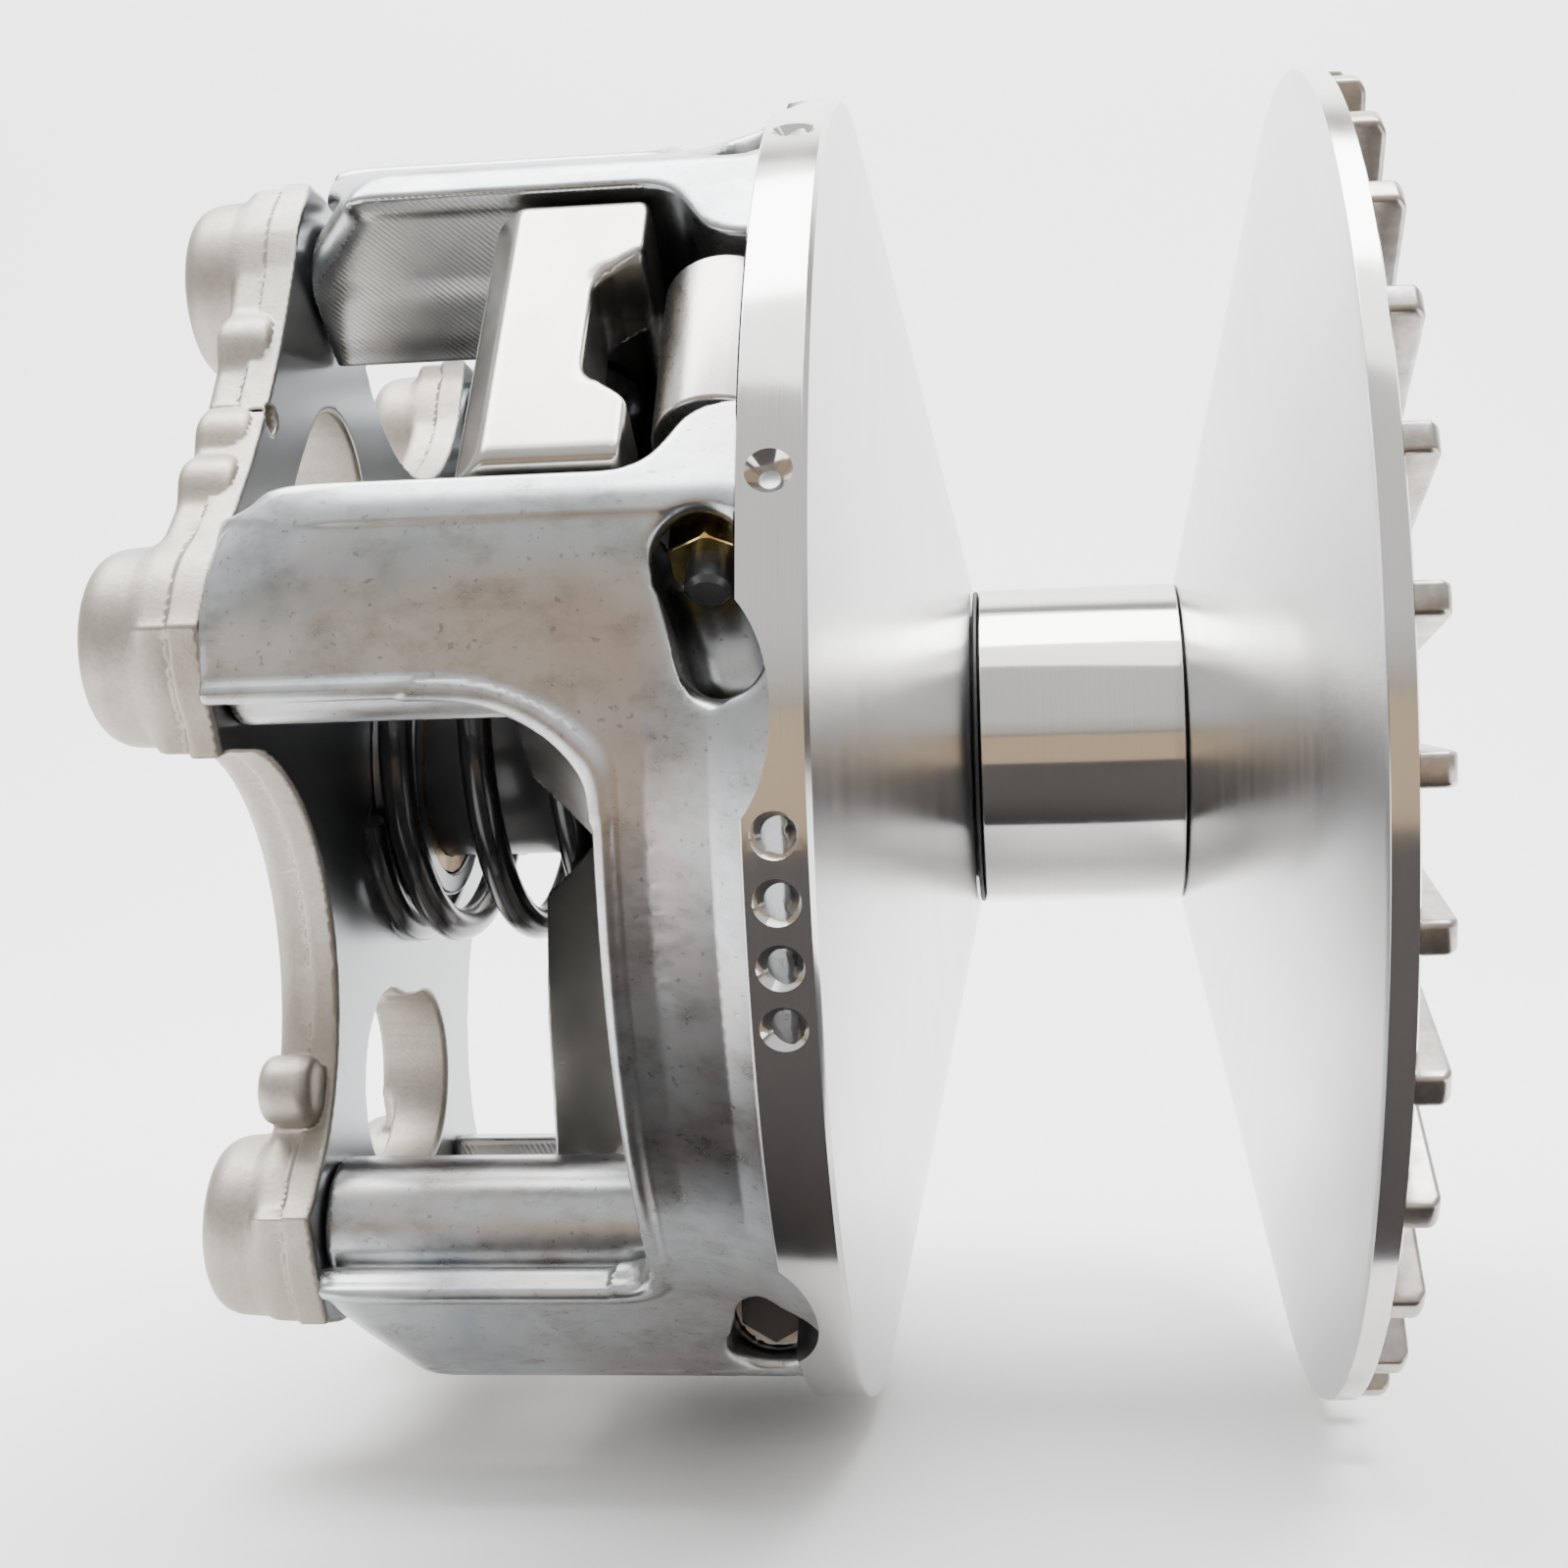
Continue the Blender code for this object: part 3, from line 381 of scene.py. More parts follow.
def surface_nets(values, low, step):
    """Points and quads of the zero surface: one point in each grid cell that it crosses."""
    inside = values < 0.0
    cells = [s - 1 for s in values.shape]
    total = np.zeros(cells, np.int8)
    corners = [(i, j, k) for i in (0, 1) for j in (0, 1) for k in (0, 1)]
    for i, j, k in corners:
        total += inside[i:i + cells[0], j:j + cells[1], k:k + cells[2]]
    active = np.argwhere((total > 0) & (total < 8))
    ids = np.full(cells, -1, np.int64)
    ids[active[:, 0], active[:, 1], active[:, 2]] = np.arange(len(active))
    value = {c: values[active[:, 0] + c[0], active[:, 1] + c[1], active[:, 2] + c[2]] for c in corners}
    crossings = np.zeros((len(active), 3))
    hits = np.zeros(len(active))
    for a in corners:
        for axis in range(3):
            if a[axis]:
                continue
            b = tuple(1 if n == axis else v for n, v in enumerate(a))
            va, vb = value[a], value[b]
            cross = (va < 0) != (vb < 0)
            t = np.where(cross, va / np.where(cross, va - vb, 1.0), 0.0)
            point = np.array(a, float)[None] + t[:, None] * (np.array(b) - np.array(a))[None]
            crossings += np.where(cross[:, None], point, 0.0)
            hits += cross
    verts = low + (active + crossings / hits[:, None]) * step
    quads = []
    for axis in range(3):
        u, v = (axis + 1) % 3, (axis + 2) % 3
        first = [slice(None)] * 3
        second = [slice(None)] * 3
        first[axis] = slice(0, -1)
        second[axis] = slice(1, None)
        change = inside[tuple(first)] != inside[tuple(second)]
        at = np.argwhere(change)
        at = at[(at[:, u] > 0) & (at[:, v] > 0) & (at[:, u] < cells[u]) & (at[:, v] < cells[v])]
        start = inside[at[:, 0], at[:, 1], at[:, 2]]
        ring = []
        for du, dv in ((1, 1), (0, 1), (0, 0), (1, 0)):
            cell = at.copy()
            cell[:, u] -= du
            cell[:, v] -= dv
            ring.append(ids[cell[:, 0], cell[:, 1], cell[:, 2]])
        quad = np.stack(ring, -1)
        quads.append(np.where(start[:, None], quad, quad[:, ::-1]))
    return verts, np.concatenate(quads)


# ---------------------------------------------------------------- materials

class Nodes:
    """Short calls for building a material's node tree."""

    def __init__(self, name):
        self.mat = bpy.data.materials.new(name)
        self.mat.use_nodes = True
        self.tree = self.mat.node_tree
        self.shader = self.tree.nodes["Principled BSDF"]
        self.coords = self.tree.nodes.new("ShaderNodeTexCoord").outputs["Object"]

    def node(self, kind, **values):
        node = self.tree.nodes.new(kind)
        for key, value in values.items():
            setattr(node, key, value)
        return node

    def link(self, a, b):
        self.tree.links.new(a, b)

    def scaled(self, x, y, z):
        node = self.node("ShaderNodeMapping")
        node.inputs["Scale"].default_value = (x, y, z)
        self.link(self.coords, node.inputs["Vector"])
        return node.outputs["Vector"]

    def noise(self, vector, scale, detail=4.0, rough=0.5, distortion=0.0):
        node = self.node("ShaderNodeTexNoise")
        node.inputs["Scale"].default_value = scale
        node.inputs["Detail"].default_value = detail
        node.inputs["Roughness"].default_value = rough
        node.inputs["Distortion"].default_value = distortion
        self.link(vector, node.inputs["Vector"])
        return node.outputs["Fac"]

    def ramp(self, factor, stops):
        node = self.node("ShaderNodeValToRGB")
        elements = node.color_ramp.elements
        while len(elements) > 1:
            elements.remove(elements[-1])
        for i, (position, color) in enumerate(stops):
            element = elements[0] if i == 0 else elements.new(position)
            element.position = position
            element.color = (*color, 1.0) if hasattr(color, "__len__") else (color, color, color, 1.0)
        self.link(factor, node.inputs["Fac"])
        return node.outputs["Color"]

    def math(self, kind, a, b=None):
        node = self.node("ShaderNodeMath", operation=kind)
        for socket, value in zip(node.inputs, (a, b)):
            if value is None:
                continue
            if isinstance(value, (int, float)):
                socket.default_value = value
            else:
                self.link(value, socket)
        return node.outputs[0]

    def mix(self, factor, a, b):
        node = self.node("ShaderNodeMix", data_type="RGBA")
        for socket, value in ((node.inputs[0], factor), (node.inputs[6], a), (node.inputs[7], b)):
            if isinstance(value, (int, float)):
                socket.default_value = value
            elif hasattr(value, "__len__") and not hasattr(value, "links"):
                socket.default_value = (*value, 1.0)
            else:
                self.link(value, socket)
        return node.outputs[2]

    def polar(self):
        """(x, radius, angle) of the point about the clutch axis."""
        split = self.node("ShaderNodeSeparateXYZ")
        self.link(self.coords, split.inputs[0])
        x, y, z = split.outputs
        square = self.math("ADD", self.math("MULTIPLY", y, y), self.math("MULTIPLY", z, z))
        radius = self.math("SQRT", square)
        angle = self.math("ARCTAN2", z, y)
        return x, radius, angle

    def vector(self, x=0.0, y=0.0, z=0.0):
        node = self.node("ShaderNodeCombineXYZ")
        for socket, value in zip(node.inputs, (x, y, z)):
            if isinstance(value, (int, float)):
                socket.default_value = value
            else:
                self.link(value, socket)
        return node.outputs[0]

    def bump(self, height, strength, distance):
        node = self.node("ShaderNodeBump")
        node.inputs["Strength"].default_value = strength
        node.inputs["Distance"].default_value = distance
        self.link(height, node.inputs["Height"])
        self.link(node.outputs["Normal"], self.shader.inputs["Normal"])

    def lathe_tangent(self):
        """Points the highlights' spread across the rings that a lathe leaves."""
        node = self.node("ShaderNodeTangent", direction_type="RADIAL", axis="X")
        self.link(node.outputs[0], self.shader.inputs["Tangent"])

    def set(self, **values):
        for key, value in values.items():
            socket = self.shader.inputs[key.replace("_", " ").title().replace("Ior", "IOR")]
            if isinstance(value, (int, float)):
                socket.default_value = value
            elif hasattr(value, "__len__") and not hasattr(value, "links"):
                socket.default_value = (*value, 1.0)
            else:
                self.link(value, socket)


def turned_metal(name, color, low, high, aniso, groove=0.5, dirt=0.0, pitch=2600.0):
    """Metal from the lathe: fine rings about the X axis, spread highlights, slow colour drift."""
    n = Nodes(name)
    x, radius, angle = n.polar()
    rings = n.noise(n.vector(n.math("ADD", x, n.math("MULTIPLY", radius, 1.7)), 0.0, 0.0), pitch, 3.0, 0.6)
    broad = n.noise(n.vector(n.math("ADD", x, radius), n.math("MULTIPLY", angle, 0.004), 0.0), 320.0, 2.0)
    cloud = n.noise(n.scaled(1, 1, 1), 34.0, 5.0)
    tint = n.mix(n.ramp(cloud, [(0.3, 0.0), (0.7, 1.0)]), color, tuple(c * (0.93 - dirt) for c in color))
    tint = n.mix(n.ramp(rings, [(0.35, 0.25), (0.6, 0.0)]), tint, tuple(c * 0.8 for c in color))
    rough = n.math("ADD", low, n.math("MULTIPLY", n.math("ADD", rings, broad), (high - low) / 2.0))
    n.set(base_color=tint, metallic=1.0, roughness=rough, anisotropic=aniso)
    n.lathe_tangent()
    n.bump(rings, groove, 0.00001)
    return n.mat


def cast_metal():
    """Die-cast skin: grey clouds, small stains and dark specks."""
    n = Nodes("die_cast_aluminium")
    big = n.noise(n.scaled(1.0, 1.0, 1.0), 26.0, 6.0, 0.62, 0.6)
    small = n.noise(n.scaled(0.6, 1.0, 1.0), 190.0, 6.0, 0.7)
    specks = n.noise(n.scaled(1, 1, 1), 900.0, 2.0)
    tint = n.ramp(big, [(0.3, (0.36, 0.40, 0.43)), (0.5, (0.50, 0.52, 0.53)), (0.68, (0.45, 0.41, 0.40))])
    tint = n.mix(n.ramp(small, [(0.36, 0.5), (0.52, 0.0)]), tint, (0.27, 0.26, 0.25))
    tint = n.mix(n.ramp(specks, [(0.27, 0.6), (0.34, 0.0)]), tint, (0.2, 0.2, 0.2))
    rough = n.math("ADD", 0.2, n.math("MULTIPLY", small, 0.2))
    n.set(base_color=tint, metallic=1.0, roughness=rough)
    n.bump(n.math("ADD", n.math("MULTIPLY", small, 0.7), n.math("MULTIPLY", big, 1.0)), 0.25, 0.0001)
    return n.mat


def blasted_metal():
    """Grainy blasted skin with a machined face towards the sheave, painted darker as shade."""
    n = Nodes("blasted_cast_aluminium")
    grain = n.noise(n.scaled(1, 1, 1), 1500.0, 3.0, 0.7)
    mid = n.noise(n.scaled(1, 1, 1), 420.0, 4.0)
    cloud = n.noise(n.scaled(1, 1, 1), 30.0, 4.0)
    tint = n.ramp(cloud, [(0.32, (0.36, 0.325, 0.275)), (0.6, (0.45, 0.42, 0.38))])
    tint = n.mix(n.ramp(grain, [(0.35, 0.35), (0.55, 0.0)]), tint, (0.30, 0.27, 0.22))
    # the face towards the sheave is machined and smoother; its darker, cooler tint is painted shade from the
    # recess between the cover and the sheave
    x = n.polar()[0]
    flat = n.math("GREATER_THAN", x, (COVER_RIGHT - 0.12) * MM)
    tint = n.mix(flat, tint, n.ramp(cloud, [(0.3, (0.26, 0.275, 0.29)), (0.7, (0.34, 0.355, 0.37))]))
    rest = n.math("SUBTRACT", 1.0, flat)
    blasted = n.math("MULTIPLY", rest, n.math("ADD", 0.42, n.math("MULTIPLY", mid, 0.2)))
    smooth = n.math("MULTIPLY", flat, n.math("ADD", 0.24, n.math("MULTIPLY", cloud, 0.12)))
    n.set(base_color=tint, metallic=1.0, roughness=n.math("ADD", blasted, smooth))
    n.bump(n.math("MULTIPLY", n.math("ADD", grain, mid), rest), 0.5, 0.00008)
    return n.mat


def brushed_metal(name, color, scale, low, high, strength):
    """Steel with straight grain. scale is the stretch of the grain along x, y and z."""
    n = Nodes(name)
    grain = n.noise(n.scaled(*scale), 1400.0, 4.0, 0.6)
    cloud = n.noise(n.scaled(1, 1, 1), 60.0, 4.0)
    tint = n.mix(n.ramp(cloud, [(0.35, 0.0), (0.7, 1.0)]), color, tuple(c * 0.8 for c in color))
    tint = n.mix(n.ramp(grain, [(0.36, 0.3), (0.6, 0.0)]), tint, tuple(c * 0.78 for c in color))
    n.set(base_color=tint, metallic=1.0, roughness=n.math("ADD", low, n.math("MULTIPLY", grain, high - low)))
    n.bump(grain, strength, 0.00003)
    return n.mat


def milled_metal():
    """A wall with the slanted lines of the cutter's path."""
    n = Nodes("milled_wall")
    node = n.node("ShaderNodeMapping")
    node.inputs["Rotation"].default_value = (0.0, 0.6, 0.35)
    n.link(n.coords, node.inputs["Vector"])
    wave = n.node("ShaderNodeTexWave", wave_type="BANDS", bands_direction="X")
    wave.inputs["Scale"].default_value = 420.0
    wave.inputs["Distortion"].default_value = 0.6
    wave.inputs["Detail"].default_value = 1.0
    n.link(node.outputs["Vector"], wave.inputs["Vector"])
    cloud = n.noise(n.scaled(1, 1, 1), 55.0, 3.0)
    tint = n.ramp(cloud, [(0.3, (0.40, 0.41, 0.42)), (0.7, (0.56, 0.56, 0.55))])
    n.set(base_color=tint, metallic=1.0, roughness=n.math("ADD", 0.16, n.math("MULTIPLY", cloud, 0.16)))
    n.bump(wave.outputs["Fac"], 0.35, 0.00003)
    return n.mat


def black_gloss(name, color, rough, coat):
    """A black finish under a thin clear coat."""
    n = Nodes(name)
    drift = n.noise(n.scaled(1, 1, 1), 220.0, 4.0)
    n.set(base_color=n.mix(drift, color, tuple(c * 2.2 + 0.004 for c in color)), metallic=0.0)
    n.set(roughness=n.math("ADD", rough, n.math("MULTIPLY", drift, 0.12)))
    n.set(coat_weight=coat, coat_roughness=0.08)
    n.bump(drift, 0.15, 0.00005)
    return n.mat


def worn_plating(name, color, rough):
    """Plated or plain metal with darker worn patches."""
    n = Nodes(name)
    cloud = n.noise(n.scaled(1, 1, 1), 260.0, 5.0, 0.65)
    worn = n.ramp(cloud, [(0.35, 0.0), (0.65, 1.0)])
    n.set(base_color=n.mix(worn, color, tuple(c * 0.62 for c in color)))
    n.set(metallic=1.0, roughness=n.math("ADD", rough, n.math("MULTIPLY", cloud, 0.18)))
    n.bump(cloud, 0.2, 0.00005)
    return n.mat


def soft_dark(name, color, rough):
    """Rubber or nylon."""
    n = Nodes(name)
    cloud = n.noise(n.scaled(1, 1, 1), 500.0, 4.0)
    n.set(base_color=n.mix(cloud, color, tuple(c * 1.8 for c in color)))
    n.set(roughness=n.math("ADD", rough, n.math("MULTIPLY", cloud, 0.15)))
    n.bump(cloud, 0.3, 0.00005)
    return n.mat


LOOKS = {
    "cone": turned_metal("turned_cone", (0.80, 0.80, 0.80), 0.14, 0.3, 0.8),
    "rim": turned_metal("turned_rim", (0.72, 0.705, 0.69), 0.06, 0.18, 0.4, 0.3),
    "sleeve": turned_metal("ground_sleeve", (0.66, 0.645, 0.62), 0.04, 0.12, 0.3, 0.2),
    "cast": cast_metal(),
    "blasted": blasted_metal(),
    "milled": milled_metal(),
    "fins": worn_plating("cast_fins", (0.5, 0.46, 0.42), 0.22),
    "spider": brushed_metal("milled_steel", (0.52, 0.5, 0.465), (0.05, 0.12, 0.12), 0.2, 0.3, 0.1),
    "weight": brushed_metal("satin_steel", (0.5, 0.48, 0.45), (1.0, 1.0, 1.0), 0.22, 0.36, 0.12),
    "dark_steel": worn_plating("dark_steel", (0.2, 0.195, 0.19), 0.3),
    "zinc": worn_plating("zinc_plate", (0.62, 0.62, 0.62), 0.25),
    "yellow": worn_plating("yellow_zinc", (0.86, 0.66, 0.26), 0.16),
    "black_steel": black_gloss("black_oxide", (0.012, 0.012, 0.013), 0.3, 0.2),
    "spring": black_gloss("spring_coating", (0.003, 0.003, 0.0035), 0.16, 0.25),
    "rubber": soft_dark("seal_rubber", (0.012, 0.012, 0.013), 0.45),
    "nylon": soft_dark("button_nylon", (0.02, 0.02, 0.021), 0.4),
    "bronze": worn_plating("bearing_bronze", (0.5, 0.35, 0.19), 0.3),
    "brass": worn_plating("cage_brass", (0.72, 0.56, 0.28), 0.25),
}


# ---------------------------------------------------------------- cast parts

def front_face(r):
    """x of the sliding sheave's cone face at a radius."""
    return HUB_FRONT + (r - HUB_R) / (RIM_R - HUB_R) * (RIM_FRONT - HUB_FRONT)


def casting_field(p):
    """Towers, drum and lugs of the sliding sheave."""
    x, r, phi, t, s = arm_coords(p)
    a = np.abs(t)
    # outer surface: the drum's cone and the towers' arched backs
    out = np.interp(x, (-105.0, -97.0, -89.0, -85.0, -80.0), (94.6, 95.4, 97.2, 99.0, 100.7))
    back = np.hypot(a - BACK_CENTRE[0], s - BACK_CENTRE[1])
    over = smin(back - BACK_R, r - out, 2.0)
    # distance past the windows' edges: towers' lips, drum's end and the webs in the corners
    turn = np.degrees(np.arctan2(a - BACK_CENTRE[0], s - BACK_CENTRE[1]))
    lip = np.radians(turn - BACK_END) * BACK_R
    u = np.radians(np.abs(phi) - 32.1) * 94.0
    v = -104.0 - x
    wide = np.where(t < 0, 15.5, 5.0)
    tall = np.where(t < 0, 23.0, 6.0)
    e = np.hypot(np.minimum((u - wide) / wide, 0.0), np.minimum((v - tall) / tall, 0.0))
    corner = np.maximum((1.0 - e) * wide, np.maximum(u - wide, v - tall))
    edge = smin(smin(lip, v, 2.0), corner, 1.5)
    skin = smax(np.abs(over + SHELL / 2) - SHELL / 2, edge, 2.6)
    bead = np.hypot(edge + 1.45, over + 0.5) - 1.4
    solid = smin(skin, bead, 0.8)
    # walls along the slot and round posts for the cover's bolts
    wall = np.maximum(box2(a, s, SLOT_HALF, 33.0, 63.0, 120.0, 1.0), over + 0.05)
    post = np.maximum(np.hypot(a - BOSS[0] - 1.2, s - BOSS[1]) - 9.6, over + 0.05)
    solid = smin(smin(solid, wall, 1.0), post, 2.0)
    solid = smax(solid, TOWER_LEFT - x, 0.8)
    # sloping outer corners of the towers' ends, steeper on one side of the slot
    drop = np.where(t < 0, 0.46, 1.22)
    solid = smax(solid, ((s - TOWER_TOP) - (x + 143.0) * drop) / np.hypot(1.0, drop), 5.0)
    # lugs for the flyweight's bolt
    lug = np.maximum(box2(a, s, 14.0, 28.4, 72.5, 99.0, 2.0), -99.5 - x)
    solid = smin(solid, np.maximum(lug, over + 0.3), 4.0)
    # wall of the slanted pocket that leads to the bolt's nut
    arc = np.radians(np.abs(phi)) * 97.0
    du, dv = 2.9, 11.5
    share = np.clip(((x + 89.9) * du + (arc - 38.6) * dv) / (du * du + dv * dv), 0.0, 1.0)
    capsule = np.hypot(x + 89.9 - share * du, arc - 38.6 - share * dv) - 5.7
    solid = np.minimum(solid, np.maximum(np.maximum(capsule - 3.2, 76.0 - r), over + 0.05))
    # slot for the spider's arm and the flyweight's hub
    arm_slot = smax(x - SLOT_END, a - SLOT_HALF, 9.0)
    slot = smin(arm_slot, np.maximum(x - HUB_SLOT_END, a - HUB_SLOT_HALF), 9.0)
    slot = np.maximum(slot, 34.0 - s)
    solid = smax(solid, -slot, 1.1)
    solid = smax(solid, s - TOWER_TOP, 1.0)
    # hole and counterbores of the flyweight's bolt
    bolt = np.hypot(x - PIVOT[0], s - PIVOT[1])
    solid = smax(solid, -(bolt - 3.3), 0.4)
    solid = smax(solid, -np.maximum(bolt - 6.9, np.maximum(28.3 - a, a - 40.0)), 0.7)
    # the pocket opens from the counterbore to the outer face
    solid = smax(solid, -smax(capsule, 81.0 - r, 5.0), 1.6)
    # cover bolt holes
    hole = np.maximum(np.hypot(a - BOSS[0], s - BOSS[1]) - 4.2, x + 128.0)
    solid = np.maximum(solid, -hole)
    return np.maximum(solid, x - front_face(r) + 3.0)


def touching_arc(half_angle, nearest):
    """Centre distance and radius of the scallop that touches two bosses.

    It points at the clutch axis, with a boss at half_angle on either side.
    """
    reach = nearest - BOSS_R
    top = BOSS_RING**2 - reach**2
    distance = top / (2.0 * (BOSS_RING * math.cos(math.radians(half_angle)) - reach))
    return distance, distance - nearest


def cover_outline(phi, r):
    """Distance to the cover's outline in its plane, without and with its small ears."""
    def away(angle, radius):
        d = np.radians(phi - angle)
        return np.sqrt(np.maximum(r * r + radius * radius - 2.0 * r * radius * np.cos(d), 0.0))

    half = THIRD / 2.0
    boss = np.minimum(away(BOSS_ANGLE, BOSS_RING), away(-BOSS_ANGLE, BOSS_RING)) - BOSS_R
    wide_centre, wide_r = touching_arc(34.7, 49.0)
    slot_centre, slot_r = touching_arc(BOSS_ANGLE, 81.6)
    window = np.minimum(away(half, wide_centre), away(-half, wide_centre)) - wide_r
    slot = away(0.0, slot_centre) - slot_r
    a, h = np.radians(phi), math.radians(half)
    chord = r * np.cos(a) - BOSS[1] - 13.2
    side = np.maximum(r * np.cos(a - h), r * np.cos(a + h)) - 79.0
    body = np.maximum(np.maximum(chord, side), np.maximum(-window, -slot))
    plain = smin(boss, body, 1.5)
    ears = plain
    for angle, radius, size in EARS:
        ears = smin(ears, away(angle, radius) - size, 2.6)
    return plain, ears


def cover_field(p):
    """The cover: thin flange, thicker plate, bosses, ribs, hub and windows."""
    x, r, phi, t, s = arm_coords(p)
    outline, ears = cover_outline(phi, r)
    flange = smax(outline - 0.4, np.abs(x + 155.3) - 2.2, 0.7)
    plate = smax(ears + 0.1, np.abs(x + 158.5) - 4.0, 2.4)
    solid = np.minimum(flange, plate)
    boss = np.hypot(np.abs(t) - BOSS[0], s - BOSS[1])
    taper = 12.9 + (x - COVER_LEFT) * 0.055
    solid = smin(solid, smax(boss - taper, np.maximum(COVER_LEFT - x, x + 156.0), 4.6), 1.6)
    solid = smin(solid, smax(r - 24.0, np.maximum(-166.5 - x, x + 156.0), 2.0), 2.0)
    # ribs from the hub to the bosses on the outer side
    rib = np.abs((np.abs(t) * BOSS[1] - s * BOSS[0]) / BOSS_RING) - 2.4
    rib = smax(np.maximum(rib, -164.8 - x), np.maximum(r - 76.0, x + 158.0), 1.4)
    solid = smin(solid, rib, 2.2)
    # kidney windows
    arc = np.clip(phi, -10.0, 10.0)
    d = np.radians(phi - arc)
    kidney = np.sqrt(np.maximum(r * r + WINDOW_RING**2 - 2.0 * r * WINDOW_RING * np.cos(d), 0.0)) - WINDOW_R
    solid = smax(solid, -kidney, 1.0)
    # small hole over each slot, counterbores and holes of the cover bolts, bearing hub
    solid = smax(solid, -(np.hypot(t, s - 79.5) - 1.9), 0.3)
    solid = smax(solid, -np.maximum(boss - 7.2, x + 163.0), 0.6)
    solid = np.maximum(solid, -(boss - 4.3))
    hub = smax(r - 22.0, np.abs(x + 151.5) - 5.5, 0.8)
    solid = np.minimum(solid, hub)
    return smax(solid, -(r - 18.5), 0.5)


def spider_field(p):
    """Three arms on a web, each with a pocket for the roller and a notched mouth."""
    x, r, phi, t, s = arm_coords(p)
    a = np.abs(t)
    arm = smax(a - ARM_HALF, s - 94.5, 3.0)
    web = r * np.cos(np.radians(THIRD / 2.0 - np.abs(phi))) - 57.4
    plan = smin(np.maximum(arm, -s), np.maximum(web, s - 70.0), 3.0)
    # the left face slopes towards the hub
    solid = smax(plan, SPIDER_LEFT - x - np.clip(92.0 - s, 0.0, 50.0) * 0.07, 0.8)
    solid = smax(solid, x - SPIDER_RIGHT, 1.6)
    bevel = (SPIDER_LEFT - x + s - 90.2) / 1.41
    solid = smax(solid, bevel, 0.8)
    side = ((SPIDER_LEFT - x) * 0.7 + a - 23.6) / 1.22
    solid = smax(solid, side, 0.6)
    pocket = np.maximum(box2(x, s, -118.6, -96.0, 34.5, 81.0, 3.0), a - 12.4)
    mouth = smax(-106.3 - x, a - 10.6 - np.maximum(x + 104.0, 0.0) * 0.75, 4.5)
    mouth = np.maximum(mouth, 60.0 - s)
    solid = smax(solid, -smin(pocket, mouth, 0.5), 1.6)
    solid = smax(solid, -(np.hypot(x - ROLLER[0], s - ROLLER[1]) - 3.2), 0.3)
    solid = smax(solid, -np.maximum(r - 31.2, x + 106.0), 0.8)
    return np.maximum(solid, -(r - 15.8))


# ---------------------------------------------------------------- build

def ride(obj, body, nodes):
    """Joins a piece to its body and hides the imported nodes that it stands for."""
    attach(obj, body)
    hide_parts(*nodes)


def slot_wall(p, n):
    """True for the milled faces on both sides of the slots."""
    x, _, phi, t, _ = arm_coords(p)
    turn = np.arctan2(p[:, 2], -p[:, 1]) - np.radians(phi)
    across = n[:, 1] * np.sin(turn) + n[:, 2] * np.cos(turn)
    return (np.abs(np.abs(t) - SLOT_HALF) < 0.4) & (np.abs(across) > 0.9) & (x < -101.0)


def radial_tool(name, profile, steps, angle, x, spread=None):
    """A turned cutter that points outwards through the rim at an angle."""
    tool = turned(name, profile, LOOKS["cone"], steps, closed=False)
    tool.data.transform(Matrix.Rotation(math.radians(-90.0), 4, "Y"))
    if spread:
        tool.data.transform(Matrix.Diagonal((*spread, 1.0, 1.0)))
    return place(tool, arm_matrix(angle) @ Matrix.Translation((x, 0.0, RIM_R)))


def build_movable():
    low, high = (-154.0, -101.0, -101.0), (-74.0, 101.0, 101.0)
    casting = field_mesh("sheave_casting", casting_field, low, high, LOOKS["cast"])
    finish_faces(casting, LOOKS["milled"], slot_wall)
    ride(casting, "movable", ["movable_sheave"])
    corners = [
        (HUB_FRONT, HUB_R + 0.4, 0.2),
        (front_face(RIM_R - 0.7), RIM_R - 0.7, 0.0),
        (RIM_FRONT - 0.5, RIM_R, 0.15),
        (RIM_BACK + 0.35, RIM_R, 0.2),
        (RIM_BACK, RIM_R - 0.7, 0.1),
        (RIM_BACK, 90.5, 1.5),
        (front_face(84.0) - 6.0, 84.0, 3.0),
        (front_face(34.0) - 6.0, 34.0, 3.0),
        (-69.0, 30.5, 1.0),
        (-98.0, 24.5, 1.0),
        (-98.0, 19.1, 0.3),
        (-87.0, 19.1, 0.1),
        (-87.0, HUB_R, 0.1),
        (HUB_FRONT - 0.4, HUB_R, 0.1),
    ]
    cone = turned("sheave_cone", corners, LOOKS["cone"])
    # shallow reliefs beside the pockets and balance drillings in the rim
    relief = [(-13.5, 1.0, 0), (4.0, 1.0, 0)]
    drill = [(-3.4, 0.02, 0), (0.0, 3.0, 0), (1.5, 3.05, 0)]
    tools = [
        radial_tool("relief_tool", relief, 64, angle + side * 34.0, -90.2, (9.3, 16.0))
        for angle in ARMS
        for side in (-1, 1)
    ]
    tools += [
        radial_tool("drill_tool", drill, 48, angle, -80.9)
        for angle in (57.7, 19.1, -6.0, -10.6, -15.2, -19.7)
    ]
    cut(cone, *tools)
    finish_rim(cone, LOOKS["rim"], 98.0)
    ride(cone, "movable", [])


def build_cover():
    low, high = (-172.0, -95.0, -95.0), (-145.0, 95.0, 95.0)
    cover = field_mesh("cover_casting", cover_field, low, high, LOOKS["blasted"])
    ride(cover, "movable", ["clutch_cover"])


def build_spider():
    low, high = (-127.0, -98.0, -98.0), (-99.0, 98.0, 98.0)
    spider = field_mesh("spider_arms", spider_field, low, high, LOOKS["spider"])
    ride(spider, "shaft", ["spider"])


